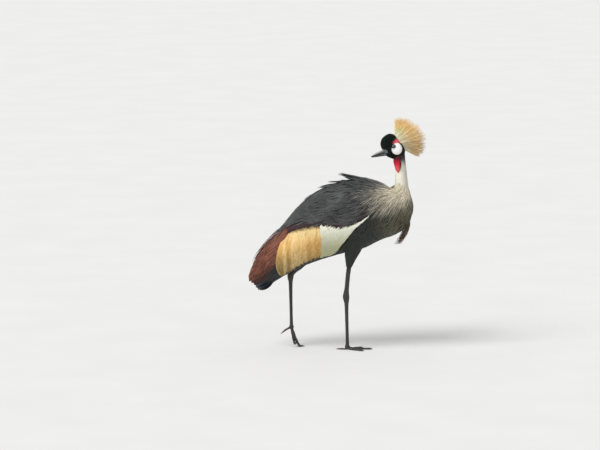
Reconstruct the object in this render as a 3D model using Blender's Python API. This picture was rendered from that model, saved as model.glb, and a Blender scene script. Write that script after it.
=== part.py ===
# Grey crowned crane, life size: striding to +X with its head turned back over its right side.
# Metres, +Z up, the bird's right side towards -Y.
import math
import random

import bmesh
import bpy
import numpy as np
from mathutils import Matrix, Vector
from mathutils.bvhtree import BVHTree

# Driving sizes of the whole bird
CUT_MARGIN = 0.0003     # air left between two nodes that touch
VANE_THICK = 0.0009     # a feather's vane, quill side to edge
FORM_SIDES = 22         # facets round the body
COVER_DEPTH = 0.018     # how deep the folded wing sinks into the outer form
WING_BASE = 0.013       # depth of the base that the wing's feathers grow from

# Outer form of the body with its folded wings, as ribs from breast to tail.
# Each rib: top x, top z, bottom x, bottom z, half width.
RIBS = np.array([
    (0.304, 0.600, 0.306, 0.590, 0.006),
    (0.291, 0.640, 0.297, 0.545, 0.047),
    (0.255, 0.667, 0.275, 0.500, 0.069),
    (0.209, 0.673, 0.235, 0.474, 0.087),
    (0.150, 0.692, 0.175, 0.452, 0.102),
    (0.094, 0.702, 0.105, 0.418, 0.112),
    (0.030, 0.690, 0.030, 0.400, 0.117),
    (-0.040, 0.670, -0.040, 0.380, 0.116),
    (-0.111, 0.629, -0.105, 0.358, 0.110),
    (-0.170, 0.574, -0.165, 0.331, 0.098),
    (-0.225, 0.506, -0.215, 0.305, 0.082),
    (-0.280, 0.450, -0.257, 0.279, 0.062),
    (-0.325, 0.392, -0.289, 0.256, 0.045),
    (-0.358, 0.331, -0.321, 0.248, 0.028),
    (-0.367, 0.280, -0.347, 0.256, 0.010),
])
TORSO_END = 9.4         # rib where the flesh of the rump ends and the tail begins
TAIL_CORE_END = 10.7

# Neck, from inside the breast to inside the head: x, z, half depth (along x), half width
NECK = np.array([
    (0.228, 0.590, 0.060, 0.052),
    (0.244, 0.622, 0.053, 0.043),
    (0.257, 0.648, 0.041, 0.034),
    (0.262, 0.672, 0.0300, 0.0275),
    (0.261, 0.700, 0.0250, 0.0240),
    (0.259, 0.740, 0.0225, 0.0218),
    (0.256, 0.780, 0.0208, 0.0198),
    (0.253, 0.812, 0.0200, 0.0185),
    (0.251, 0.830, 0.0130, 0.0120),
])

# Head, back to front, with the bill towards -X: x, top z, bottom z, half width
HEAD = np.array([
    (0.2755, 0.820, 0.814, 0.002),
    (0.2715, 0.838, 0.796, 0.0150),
    (0.260, 0.857, 0.785, 0.0220),
    (0.245, 0.8735, 0.783, 0.0248),
    (0.228, 0.8840, 0.785, 0.0252),
    (0.212, 0.8870, 0.791, 0.0238),
    (0.198, 0.8820, 0.799, 0.0205),
    (0.186, 0.8730, 0.815, 0.0160),
    (0.178, 0.8620, 0.833, 0.0100),
    (0.1745, 0.851, 0.845, 0.002),
])
HEAD_TURN = math.radians(7)      # bill swung this far towards the bird's right
HEAD_PIVOT = Vector((0.254, 0.0, 0.0))

# Bill: x, culmen z, lip z (upper half); x, lip z, chin z (lower half); half width
BILL_UPPER = np.array([
    (0.216, 0.8320, 0.8125, 0.0085),
    (0.198, 0.8300, 0.8110, 0.0088),
    (0.182, 0.8235, 0.8075, 0.0070),
    (0.164, 0.8150, 0.8030, 0.0054),
    (0.148, 0.8065, 0.7985, 0.0036),
    (0.1355, 0.7985, 0.7940, 0.0016),
])
BILL_LOWER = np.array([
    (0.216, 0.8119, 0.7990, 0.0080),
    (0.198, 0.8104, 0.7985, 0.0080),
    (0.182, 0.8069, 0.7970, 0.0064),
    (0.164, 0.8024, 0.7945, 0.0048),
    (0.150, 0.7985, 0.7930, 0.0032),
    (0.1390, 0.7947, 0.7920, 0.0015),
])

EYE_RADIUS = 0.0075
EYE_AT = (0.2248, 0.0205, 0.8405)   # x, distance from the middle plane, z
LID_RING = 0.0074
LID_THICK = 0.0015

CREST_FOOT = Vector((0.2480, 0.0, 0.8560))   # middle of the crest's root, under the hind crown
CREST_AXIS = Vector((0.866, 0.0, 0.5)).normalized()
CREST_FAN = (58, 40)                        # half spread up and down, and to each side, in degrees
CREST_BASE = (0.041, 0.014)                 # half size of the root, along the crown and across it
# Length of a bristle by its pitch over the crest's axis, in degrees
CREST_REACH = ((-58, 0.082), (-38, 0.102), (-15, 0.113), (8, 0.108), (35, 0.093), (58, 0.074))
CREST_BRISTLES = 54
BRISTLE_RADIUS = 0.0009

# Leg paths from inside the body to the toe root: x, y, z, radius.
# The thigh in its feathers ends at the feather edge; the bare shank starts inside it.
NEAR_THIGH = np.array([
    (0.068, -0.050, 0.450, 0.040),
    (0.062, -0.048, 0.418, 0.033),
    (0.054, -0.045, 0.385, 0.0225),
    (0.0485, -0.041, 0.352, 0.0125),
    (0.0475, -0.040, 0.344, 0.0090),
])
NEAR_SHANK = np.array([
    (0.0495, -0.042, 0.362, 0.0094),
    (0.0445, -0.037, 0.320, 0.0094),
    (0.0395, -0.031, 0.262, 0.0093),
    (0.0370, -0.0285, 0.237, 0.0117),
    (0.0362, -0.027, 0.2215, 0.0137),
    (0.0368, -0.0255, 0.2060, 0.0114),
    (0.0380, -0.024, 0.1880, 0.0084),
    (0.0400, -0.018, 0.1100, 0.0071),
    (0.0418, -0.013, 0.0400, 0.0071),
    (0.0420, -0.012, 0.0125, 0.0084),
])
FAR_THIGH = np.array([
    (0.030, 0.044, 0.452, 0.036),
    (-0.010, 0.046, 0.432, 0.029),
    (-0.060, 0.050, 0.400, 0.020),
    (-0.110, 0.053, 0.364, 0.0125),
    (-0.119, 0.053, 0.357, 0.0092),
])
FAR_SHANK = np.array([
    (-0.102, 0.053, 0.370, 0.0094),
    (-0.140, 0.054, 0.342, 0.0092),
    (-0.168, 0.054, 0.321, 0.0098),
    (-0.184, 0.054, 0.308, 0.0120),
    (-0.1905, 0.054, 0.2965, 0.0134),
    (-0.1915, 0.054, 0.2820, 0.0108),
    (-0.1905, 0.054, 0.2660, 0.0083),
    (-0.1890, 0.054, 0.1850, 0.0068),
    (-0.1875, 0.054, 0.1100, 0.0068),
    (-0.1870, 0.054, 0.0830, 0.0082),
])

# Toes: name, turn from straight ahead in degrees, length, radius
TOES = (
    ("inner", 32, 0.066, 0.0050),
    ("middle", 0, 0.094, 0.0056),
    ("outer", -34, 0.072, 0.0050),
    ("hind", 176, 0.036, 0.0042),
)
CLAW_LENGTH = 0.013
SOLE_DEPTH = 0.58       # height of a toe's middle line over the floor, in toe radii

COLOURS = {
    "slate": ((0.115, 0.120, 0.128), 0.75),
    "neck_grey": ((0.66, 0.63, 0.58), 0.8),
    "black_velvet": ((0.012, 0.012, 0.014), 0.9),
    "bill_horn": ((0.17, 0.18, 0.18), 0.4),
    "eye_blue": ((0.55, 0.60, 0.64), 0.08),
    "crest_gold": ((0.72, 0.52, 0.22), 0.6),
    "wattle_red": ((0.75, 0.03, 0.05), 0.5),
    "wing_mix": ((0.80, 0.72, 0.52), 0.7),
    "tail_black": ((0.035, 0.038, 0.050), 0.6),
    "leg_dark": ((0.050, 0.052, 0.050), 0.55),
    "claw_horn": ((0.03, 0.03, 0.03), 0.35),
}

random.seed(7)


# Scene helpers

def make_collection(name):
    made = bpy.data.collections.new(name)
    bpy.context.scene.collection.children.link(made)
    return made


def material(name):
    found = bpy.data.materials.get(name)
    if found:
        return found
    colour, roughness = COLOURS[name]
    made = bpy.data.materials.new(name)
    made.use_nodes = True
    shader = made.node_tree.nodes["Principled BSDF"]
    shader.inputs["Base Color"].default_value = (*colour, 1)
    shader.inputs["Roughness"].default_value = roughness
    shader.inputs["Metallic"].default_value = 0
    return made


def object_from(name, mesh, where=None):
    obj = bpy.data.objects.new(name, mesh)
    (where or scratch).objects.link(obj)
    return obj


def move_to(obj, where):
    for home in list(obj.users_collection):
        home.objects.unlink(obj)
    where.objects.link(obj)


def evaluated_mesh(obj):
    bpy.context.view_layer.update()
    graph = bpy.context.evaluated_depsgraph_get()
    return bpy.data.meshes.new_from_object(obj.evaluated_get(graph))


def apply_modifiers(obj):
    made = evaluated_mesh(obj)
    obj.modifiers.clear()
    obj.data = made


# Curves through a few knots

def mix(a, b, t):
    return a + (b - a) * t


def ease(value, start, stop):
    t = min(max((value - start) / (stop - start), 0.0), 1.0)
    return t * t * (3 - 2 * t)


def smooth(knots, at):
    """Catmull-Rom value at a fractional index of evenly counted knots."""
    last = len(knots) - 1
    at = min(max(at, 0.0), float(last))
    i = min(int(at), last - 1)
    t = at - i
    p0, p1 = knots[max(i - 1, 0)], knots[i]
    p2, p3 = knots[i + 1], knots[min(i + 2, last)]
    return 0.5 * (2 * p1 + (p2 - p0) * t + (2 * p0 - 5 * p1 + 4 * p2 - p3) * t * t
                  + (3 * p1 - p0 - 3 * p2 + p3) * t ** 3)


def form(rib, around, lift=0.0, side=-1):
    """Point of the outer form. around is 90 on the back, 0 at the flank, -90 under the belly."""
    x_top, z_top, x_low, z_low, half = smooth(RIBS, rib)
    top = Vector((x_top, 0, z_top))
    low = Vector((x_low, 0, z_low))
    rise = (top - low) / 2
    turn = math.radians(around)
    up = rise.normalized() * (rise.length + lift) * math.sin(turn)
    out = side * max(half + lift, 0.0005) * math.cos(turn)
    return (top + low) / 2 + up + Vector((0, out, 0))


def form_normal(rib, around, side=-1):
    along = form(rib + 0.1, around, 0, side) - form(rib - 0.1, around, 0, side)
    across = form(rib, around + 2, 0, side) - form(rib, around - 2, 0, side)
    normal = along.cross(across)
    middle = (form(rib, 0, 0, 1) + form(rib, 0, 0, -1)) / 2
    if normal.dot(form(rib, around, 0, side) - middle) < 0:
        normal.negate()
    return normal.normalized()


# Where the folded wing lies on the form

def wing_edge(rib):
    """Lower edge of the folded wing, in degrees."""
    return float(np.interp(rib, [3.2, 4.0, 5.1, 5.7, 6.3, 6.9, 7.5], [16, 0, -13, -25, -41, -64, -100]))


def wing_bed(rib, around):
    """How far the flesh lies under the outer form, to make room for the wing."""
    front = ease(rib, 2.9, 4.3)
    low = ease(around, wing_edge(rib) - 6, wing_edge(rib) + 5)
    back = 1 - 0.72 * ease(around, 66, 80)
    return 0.001 + (COVER_DEPTH - 0.001) * front * low * back


def wing_gap(rib):
    """Half the strip along the back that the wings leave free."""
    return mix(0.0078, 0.0020, ease(rib, 7.6, 9.4))


def wing_top(rib, width):
    """Highest place, in degrees, at which a feather of this width stays clear of that strip."""
    half = float(smooth(RIBS, rib)[4])
    best = 0
    while best < 80 and half * math.cos(math.radians(best)) - width / 2 * math.sin(math.radians(best)) > wing_gap(rib):
        best += 1
    return best


# Closed shapes

def loft(name, rings, where=None, tips=None):
    """Closed skin over rings of equal count; tips are the end points, or the rings' own centres."""
    mesh = bpy.data.meshes.new(name)
    bm = bmesh.new()
    rows = [[bm.verts.new(p) for p in ring] for ring in rings]
    count = len(rows[0])
    for a, b in zip(rows, rows[1:]):
        for k in range(count):
            n = (k + 1) % count
            bm.faces.new((a[k], a[n], b[n]))
            bm.faces.new((a[k], b[n], b[k]))
    ends = tips or [sum(ring, Vector()) / count for ring in (rings[0], rings[-1])]
    for row, end in ((rows[0], ends[0]), (rows[-1], ends[1])):
        tip = bm.verts.new(end)
        for k in range(count):
            bm.faces.new((row[k], row[(k + 1) % count], tip))
    bmesh.ops.recalc_face_normals(bm, faces=bm.faces)
    bm.to_mesh(mesh)
    bm.free()
    return object_from(name, mesh, where)


def oval(centre, side, up, half_side, half_up, count):
    ring = []
    for k in range(count):
        turn = 2 * math.pi * k / count
        ring.append(centre + side * half_side * math.cos(turn) + up * half_up * math.sin(turn))
    return ring


def body_ring(rib, lift, count=FORM_SIDES):
    """Ring round the form, its points lifted by lift(around)."""
    ring = []
    for j in range(count):
        around = 360 * j / count - 90
        side = 1 if around <= 90 else -1
        flat = around if around <= 90 else 180 - around
        ring.append(form(rib, flat, lift(flat), side))
    return ring


def ball(name, radii, location, rotation=(0, 0, 0), segments=16, rings=10):
    bpy.ops.mesh.primitive_uv_sphere_add(segments=segments, ring_count=rings, radius=1,
                                         location=location, rotation=rotation)
    obj = bpy.context.object
    obj.name = name
    obj.scale = radii
    bpy.ops.object.transform_apply(location=True, rotation=True, scale=True)
    move_to(obj, scratch)
    return obj


def swollen(obj, grow=CUT_MARGIN):
    """Cutter: a copy of a plain node with its skin moved out by grow."""
    mesh = obj.data.copy()
    bm = bmesh.new()
    bm.from_mesh(mesh)
    bm.normal_update()
    for v in bm.verts:
        v.co += v.normal * grow
    bm.to_mesh(mesh)
    bm.free()
    return object_from(obj.name + "_cutter", mesh, cutters)


def cut(obj, *tools):
    for tool in tools:
        step = obj.modifiers.new("cut", "BOOLEAN")
        step.operation = "DIFFERENCE"
        step.solver = "MANIFOLD"
        step.object = tool
        apply_modifiers(obj)
    keep_largest(obj)


def fuse(obj, pieces):
    """One Boolean union of obj with a list of closed pieces, which are then removed."""
    heap = make_collection(obj.name + "_pieces")
    for piece in pieces:
        move_to(piece, heap)
    step = obj.modifiers.new("join", "BOOLEAN")
    step.operation = "UNION"
    step.solver = "MANIFOLD"
    step.operand_type = "COLLECTION"
    step.collection = heap
    apply_modifiers(obj)
    for piece in list(heap.objects):
        bpy.data.objects.remove(piece)
    bpy.data.collections.remove(heap)
    keep_largest(obj)


def keep_largest(obj):
    """Leaves only the largest closed surface of a node."""
    bm = bmesh.new()
    bm.from_mesh(obj.data)
    bmesh.ops.triangulate(bm, faces=bm.faces)
    left = set(bm.faces)
    islands = []
    while left:
        heap = [left.pop()]
        island = set(heap)
        while heap:
            for edge in heap.pop().edges:
                fresh = [face for face in edge.link_faces if face in left]
                left.difference_update(fresh)
                island.update(fresh)
                heap += fresh
        islands.append(island)
    islands.sort(key=lambda island: -sum(face.calc_area() for face in island))
    spare = [face for island in islands[1:] for face in island]
    bmesh.ops.delete(bm, geom=spare, context="FACES")
    bmesh.ops.delete(bm, geom=[v for v in bm.verts if not v.link_faces], context="VERTS")
    bm.to_mesh(obj.data)
    bm.free()


def finish(obj, colour, angle=40):
    obj.data.materials.clear()
    obj.data.materials.append(material(colour))
    obj.data.shade_smooth()
    obj.data.set_sharp_from_angle(angle=math.radians(angle))
    move_to(obj, crane)


# A feather's vane: a thin tapered strip along a bent quill

def vane(name, quill, normals, width, tip=0.25, lean=0.0, blunt=0.62):
    """quill is its line of points. width is greatest at the share blunt, and tip times it at the end."""
    mesh = bpy.data.meshes.new(name)
    bm = bmesh.new()
    rows = []
    last = len(quill) - 1
    for k, point in enumerate(quill):
        t = k / last
        ahead = (quill[min(k + 1, last)] - quill[max(k - 1, 0)]).normalized()
        across = Matrix.Rotation(math.radians(lean), 3, ahead) @ ahead.cross(normals[k]).normalized()
        face = across.cross(ahead).normalized()
        grow = 0.5 + 0.5 * math.sin(min(t / blunt, 1.0) * math.pi / 2)
        fade = 1.0 if t <= blunt else mix(1.0, tip, ((t - blunt) / (1 - blunt)) ** 1.8)
        half = across * width / 2 * grow * fade
        deep = face * VANE_THICK / 2
        corners = (point + half + deep, point - half + deep, point - half - deep, point + half - deep)
        rows.append([bm.verts.new(c) for c in corners])
    for a, b in zip(rows, rows[1:]):
        bm.faces.new((a[0], a[1], b[1]))
        bm.faces.new((a[0], b[1], b[0]))
        bm.faces.new((a[3], b[2], a[2]))
        bm.faces.new((a[3], b[3], b[2]))
        bm.faces.new((a[1], a[2], b[2]))
        bm.faces.new((a[1], b[2], b[1]))
        bm.faces.new((a[3], a[0], b[0]))
        bm.faces.new((a[3], b[0], b[3]))
    for row in (rows[0], rows[-1]):
        bm.faces.new((row[0], row[1], row[2]))
        bm.faces.new((row[0], row[2], row[3]))
    bmesh.ops.recalc_face_normals(bm, faces=bm.faces)
    bm.to_mesh(mesh)
    bm.free()
    return object_from(name, mesh)


def form_vane(name, root, tip, width, lift, side, bow=0.0, steps=4, rise=0.0, point=0.25, lean=0.0,
              sink=0.016, blunt=0.62):
    """Vane on the form from root to tip (rib, around), its root sunk by sink and the rest at lift.

    Above the flank, 75 degrees stands for the wing's top edge.
    """
    quill, normals = [], []
    for k in range(steps + 1):
        t = k / steps
        rib = mix(root[0], tip[0], t)
        around = mix(root[1], tip[1], t) + bow * math.sin(math.pi * t)
        if around > 0:
            around *= min(wing_top(rib, width) / 75, 1.0)
        quill.append(form(rib, around, mix(-sink, lift, ease(t, 0.0, 0.3)) + rise * t ** 2.2, side))
        normals.append(form_normal(rib, around, side))
    return vane(name, quill, normals, width, point, lean * side, blunt)


def tier(name, count, roots, tips, width, lift, side, **more):
    """A row of overlapping vanes. roots and tips are the first and last vane's (rib, around)."""
    made = []
    for k in range(count):
        t = k / max(count - 1, 1)
        jitter = random.uniform(-1, 1)
        root = (mix(roots[0][0], roots[1][0], t), mix(roots[0][1], roots[1][1], t))
        tip = (mix(tips[0][0], tips[1][0], t) + 0.07 * jitter, mix(tips[0][1], tips[1][1], t) + 0.7 * jitter)
        made.append(form_vane(f"{name}_{k}", root, tip, width * (1 + 0.06 * jitter), lift, side, **more))
    return made


# Body and neck

def build_torso():
    rings = []
    steps = 19
    for k in range(steps + 1):
        rib = mix(0.0, TORSO_END, k / steps)
        rings.append(body_ring(rib, lambda around: -wing_bed(rib, around)))
    end = (form(TORSO_END + 0.2, 0, 0, 1) + form(TORSO_END + 0.2, 0, 0, -1)) / 2
    return loft("torso", rings, None, [Vector((0.3065, 0, 0.594)), end])


def mantle():
    """Narrow plumes down the middle of the back, between the wings."""
    made = []
    for k in range(6):
        rib = 3.8 + 0.80 * k
        quill = [form(rib + 1.55 * t, 90, mix(-0.012, 0.0008, ease(t, 0, 0.3)) + 0.0025 * t)
                 for t in (0, 0.3, 0.65, 1.0)]
        made.append(vane(f"mantle_{k}", quill, [Vector((0, 0, 1))] * 4, 0.0130, 0.3))
    return made


def flank_plumes(side):
    """Long plumes of the breast and flank, below the wing's edge."""
    made = []
    made += tier("flank_a", 3, ((2.3, 0), (1.9, -42)), ((4.2, -14), (4.0, -60)), 0.026, 0.0034, side,
                 steps=2, lean=6, sink=0.006, point=0.3)
    made += tier("flank_b", 3, ((3.3, -14), (3.2, -54)), ((5.2, -32), (4.9, -70)), 0.027, 0.0016, side,
                 steps=2, lean=6, sink=0.006, point=0.3)
    return made


def breast_tuft():
    """Plumes of the neck that hang loose below the breast."""
    made = []
    for k in range(3):
        y = (k - 1) * 0.014
        short = 0.012 * abs(k - 1)
        path = [(0.286, 0.553), (0.289, 0.520), (0.278, 0.487), (0.262, 0.457 + short / 2), (0.246, 0.434 + short)]
        quill = [Vector((x, y * (1.1 - 0.12 * n), z)) for n, (x, z) in enumerate(path)]
        normals = [Vector((1, 0, -0.15 * n)).normalized() for n in range(5)]
        made.append(vane(f"breast_{k}", quill, normals, 0.0115, 0.15, 0, 0.45))
    return made


def build_neck():
    rings = []
    steps = 16
    for k in range(steps + 1):
        x, z, deep, wide = smooth(NECK, k / steps * (len(NECK) - 1))
        rings.append(oval(Vector((x, 0, z)), Vector((1, 0, 0)), Vector((0, 1, 0)), deep, wide, 14))
    return loft("neck", rings)


def outer_guide(neck):
    """Surface that the long neck plumes are draped on: the outer form and the neck together."""
    guide = loft("guide", [body_ring(mix(0.0, 8.0, k / 24), lambda around: 0.0) for k in range(25)])
    bm = bmesh.new()
    bm.from_mesh(guide.data)
    bm.from_mesh(neck.data)
    tree = BVHTree.FromBMesh(bm)
    bm.free()
    bpy.data.objects.remove(guide)
    return tree


def hackles(neck):
    """Long narrow plumes from the foot of the neck, spread over the shoulders and breast."""
    tree = outer_guide(neck)
    made = []
    for row, (root_z, count, reach, lift) in enumerate(((0.664, 6, 1.0, 0.0030), (0.688, 5, 0.70, 0.0056))):
        x, z, deep, wide = smooth(NECK, float(np.interp(root_z, NECK[:, 1], range(len(NECK)))))
        for side in (-1, 1):
            for k in range(count):
                t = (k + 0.5) / count
                turn = math.radians(mix(174, 12, t))
                out = Vector((math.cos(turn), side * math.sin(turn), 0))
                root = Vector((x + out.x * (deep - 0.006), out.y * (wide - 0.006), root_z))
                rib = mix(2.2, float(np.interp(t, [0, 0.35, 0.6, 0.8, 1], [4.7, 4.5, 3.7, 2.3, 1.1])), reach)
                around = float(np.interp(t, [0, 0.35, 0.6, 0.8, 1], [76, 32, -6, -26, -40]))
                end = form(rib, around + random.uniform(-2, 2), 0.003, side)
                quill, normals = [root], [out]
                for s in (0.2, 0.45, 0.72, 1.0):
                    flat = root.lerp(end, s) + Vector((0, 0, 0.02 * math.sin(math.pi * s))) + out * 0.02 * (1 - s)
                    spot, normal, _, _ = tree.find_nearest(flat)
                    over_wing = 0.0065 * ease(s, 0.3, 0.9) * (1 - ease(t, 0.5, 0.72))
                    quill.append(spot + normal * (lift * (1 + 0.3 * s) + over_wing))
                    normals.append(normal)
                made.append(vane(f"hackle_{row}_{side}_{k}", quill, normals, 0.0185, 0.15, 0, 0.5))
    return made


# Head

def turned(obj):
    """Swings a piece of the head about the neck's line."""
    there = Matrix.Translation(HEAD_PIVOT)
    obj.data.transform(there @ Matrix.Rotation(HEAD_TURN, 4, "Z") @ there.inverted())
    return obj


def profile_loft(name, table, sides, steps):
    rings = []
    for k in range(steps + 1):
        x, top, low, half = smooth(table, k / steps * (len(table) - 1))
        centre = Vector((x, 0, (top + low) / 2))
        rings.append(oval(centre, Vector((0, 1, 0)), Vector((0, 0, 1)), half, (top - low) / 2, sides))
    return turned(loft(name, rings))


def build_eye(side):
    x, y, z = EYE_AT
    name = "eye_left" if side < 0 else "eye_right"
    return turned(ball(name, (EYE_RADIUS,) * 3, (x, side * y, z), (math.pi / 2, 0, 0), 12, 8))


def lid_ring(side):
    x, y, z = EYE_AT
    bpy.ops.mesh.primitive_torus_add(major_segments=14, minor_segments=4, major_radius=LID_RING,
                                     minor_radius=LID_THICK, location=(x, side * (y + 0.0048), z),
                                     rotation=(math.pi / 2, 0, 0))
    lid = bpy.context.object
    bpy.ops.object.transform_apply(location=True, rotation=True, scale=True)
    move_to(lid, scratch)
    return turned(lid)


def cheek_pad(side):
    """The bare cheek patch, which stands a little proud of the feathers round it."""
    return turned(ball("cheek", (0.0195, 0.0098, 0.0235), (0.2450, side * 0.0172, 0.8265), (0, 0, 0), 12, 8))


def nostril(side):
    return turned(ball("nostril", (0.0048, 0.0022, 0.0014), (0.176, side * 0.0070, 0.8145),
                       (0, math.radians(-24), 0), 8, 6))


def build_wattle():
    """The throat pouch: a flattened drop that hangs from the chin on the neck's right front."""
    rings = []
    steps = 7
    facing = Vector((-0.50, -0.87, 0)).normalized()
    across = Vector((0, 0, 1)).cross(facing).normalized()
    for k in range(steps + 1):
        t = k / steps
        wide = 0.0160 * math.sin(math.pi * min(0.20 + 0.84 * t, 1.0)) ** 0.6 + 0.0010
        deep = 0.0062 * math.sin(math.pi * min(0.30 + 0.68 * t, 1.0)) ** 0.7 + 0.0012
        spot = Vector((0.2560, 0, mix(0.792, 0.730, t))) + facing * mix(0.0185, 0.0235, t)
        spot.x += mix(-0.003, 0.003, t)
        rings.append(oval(spot, across, facing, wide, deep, 10))
    return loft("wattle", rings)


def build_crest():
    """Stiff bristles in a full fan from a low pad on the hind crown."""
    pad = ball("crest", (0.0165, 0.0180, 0.0460), CREST_FOOT, (0, math.radians(-34), 0), 14, 10)
    side_axis = Vector((0, 1, 0))
    up_axis = CREST_AXIS.cross(side_axis)
    if up_axis.z < 0:
        up_axis.negate()
    bristles = []
    golden = math.pi * (3 - math.sqrt(5))
    for k in range(CREST_BRISTLES):
        # sunflower spread over an oval fan, taller than it is wide
        share = math.sqrt((k + 0.5) / CREST_BRISTLES)
        pitch = share * math.sin(k * golden) * math.radians(CREST_FAN[0])
        yaw = share * math.cos(k * golden) * math.radians(CREST_FAN[1])
        way = (CREST_AXIS * math.cos(pitch) * math.cos(yaw) + up_axis * math.sin(pitch)
               + side_axis * math.sin(yaw)).normalized()
        root = CREST_FOOT + up_axis * math.sin(pitch) * CREST_BASE[0] + side_axis * math.sin(yaw) * CREST_BASE[1]
        length = float(np.interp(math.degrees(pitch), *zip(*CREST_REACH))) * (1 - 0.12 * abs(math.sin(yaw)))
        bend = up_axis * random.uniform(-0.06, 0.06) + side_axis * random.uniform(-0.06, 0.06)
        bristles.append(turned(bristle(f"bristle_{k}", root, way, bend, length * random.uniform(0.92, 1.04))))
    fuse(turned(pad), bristles)
    return pad


def bristle(name, root, way, bend, length):
    side = way.orthogonal().normalized()
    up = way.cross(side)
    mesh = bpy.data.meshes.new(name)
    bm = bmesh.new()
    rows = []
    for t, thick in ((0.0, 1.0), (0.5, 0.9), (1.0, 0.5)):
        spot = root + way * length * t + bend * length * t * t
        rows.append([bm.verts.new(spot + (side * math.cos(a) + up * math.sin(a)) * BRISTLE_RADIUS * thick)
                     for a in (0.0, 2 * math.pi / 3, 4 * math.pi / 3)])
    for a, b in zip(rows, rows[1:]):
        for k in range(3):
            n = (k + 1) % 3
            bm.faces.new((a[k], a[n], b[n]))
            bm.faces.new((a[k], b[n], b[k]))
    bm.faces.new(rows[0])
    bm.faces.new(rows[-1])
    bmesh.ops.recalc_face_normals(bm, faces=bm.faces)
    bm.to_mesh(mesh)
    bm.free()
    return object_from(name, mesh)


# Wings and tail

def wing_core(name, side):
    """Base of the folded wing: a curved slab that the torso then cuts to shape."""
    rings = []
    steps, across = 9, 6
    for k in range(steps + 1):
        rib = mix(3.0, 9.9, k / steps)
        low = max(wing_edge(rib) - 4, -50)
        arc = [mix(low, wing_top(rib, 0.004), n / (across - 1)) for n in range(across)]
        ring = [form(rib, around, -WING_BASE, side) for around in arc]
        ring += [form(rib, around, -max(wing_bed(rib, around), WING_BASE) - 0.004, side) for around in reversed(arc)]
        rings.append(ring)
    return loft(name, rings)


def build_wing(side):
    core = wing_core("wing_right" if side < 0 else "wing_left", side)
    feathers = []
    # chestnut secondaries that droop over the tail
    feathers += tier("secondary", 5, ((8.9, 70), (9.2, -6)), ((13.8, 75), (12.9, -28)), 0.036, -0.0108, side,
                     steps=3, lean=11, rise=0.003, point=0.3, blunt=0.7)
    # straw-gold plumes that hang over the flank
    feathers += tier("gold", 6, ((7.4, 2), (9.2, 42)), ((7.65, -64), (10.3, -72)), 0.041, -0.0074, side,
                     steps=3, lean=13, bow=4, rise=0.011, point=0.35)
    # white coverts along the leading edge
    feathers += tier("white", 4, ((4.3, 7), (6.8, 6)), ((6.2, -44), (7.35, -60)), 0.044, -0.0080, side,
                     steps=3, lean=12, bow=9, rise=0.006, point=0.4)
    # slate scapulars and tertials, in tiers from the rump forward
    feathers += tier("tertial", 4, ((6.3, 74), (6.6, 16)), ((10.0, 75), (9.0, 27)), 0.044, -0.0050, side,
                     steps=3, lean=9, rise=0.001, point=0.2)
    feathers += tier("scapular_c", 4, ((5.2, 74), (5.4, 12)), ((8.5, 75), (7.9, 5)), 0.043, -0.0024, side,
                     steps=3, lean=9, rise=0.001, point=0.2)
    feathers += tier("scapular_b", 4, ((4.3, 74), (4.6, 14)), ((7.1, 75), (6.6, -5)), 0.043, 0.0002, side,
                     steps=3, lean=9, rise=0.001, point=0.2)
    feathers += tier("scapular_a", 4, ((3.8, 70), (3.9, 18)), ((5.7, 75), (5.2, -7)), 0.042, 0.0028, side,
                     steps=3, lean=9, rise=0.001, point=0.2, sink=0.0145)
    # loose scapulars that stand off the back
    for k, (rib, reach, rise) in enumerate(((4.9, 1.60, 0.042), (5.2, 1.45, 0.022), (4.6, 1.40, 0.030))):
        feathers.append(form_vane(f"loose_{k}", (rib, 60 + 3 * k), (rib + reach, 72 + 2 * k), 0.021, 0.003,
                                  side, steps=3, rise=rise, point=0.12, blunt=0.45))
    fuse(core, feathers)
    return core


def build_tail():
    rings = [body_ring(mix(TORSO_END - 0.6, TAIL_CORE_END, k / 5),
                       lambda around: -mix(0.022, 0.032, k / 5), 12) for k in range(6)]
    tail = loft("tail", rings)
    plain = swollen(tail)
    vanes = []
    for side in (-1, 1):
        for k, (around, end, low) in enumerate(((40, 12.4, -0.0215), (-2, 13.0, -0.0195), (-38, 12.9, -0.0185),
                                                (-63, 12.9, 0.0030), (-86, 12.6, 0.0100))):
            quill, normals = [], []
            for t in (0, 0.35, 0.7, 1):
                rib = mix(9.9, end, t)
                quill.append(form(rib, around, mix(-0.036, low, ease(t, 0, 0.45)), side))
                normals.append(form_normal(rib, around, side))
            vanes.append(vane(f"rectrix_{side}_{k}", quill, normals, 0.028, 0.55, 6 * side, 0.75))
    fuse(tail, vanes)
    return tail, plain


# Legs

def tube(name, knots, sides=8, per=2):
    """Round limb along a smooth line through knots (x, y, z, radius), a bevelled curve made a mesh."""
    curve = bpy.data.curves.new(name, "CURVE")
    curve.dimensions = "3D"
    curve.bevel_depth = 1.0
    curve.bevel_resolution = (sides - 4) // 2
    curve.use_fill_caps = True
    steps = per * (len(knots) - 1)
    spline = curve.splines.new("POLY")
    spline.points.add(steps)
    for k in range(steps + 1):
        x, y, z, r = smooth(knots, k / per)
        spline.points[k].co = (x, y, z, 1)
        spline.points[k].radius = r
    guide = object_from(name, curve)
    mesh = evaluated_mesh(guide)
    bpy.data.objects.remove(guide)
    bm = bmesh.new()
    bm.from_mesh(mesh)
    bmesh.ops.remove_doubles(bm, verts=bm.verts, dist=0.00005)
    bmesh.ops.triangulate(bm, faces=bm.faces)
    bmesh.ops.recalc_face_normals(bm, faces=bm.faces)
    bm.to_mesh(mesh)
    bm.free()
    return object_from(name, mesh)


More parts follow.
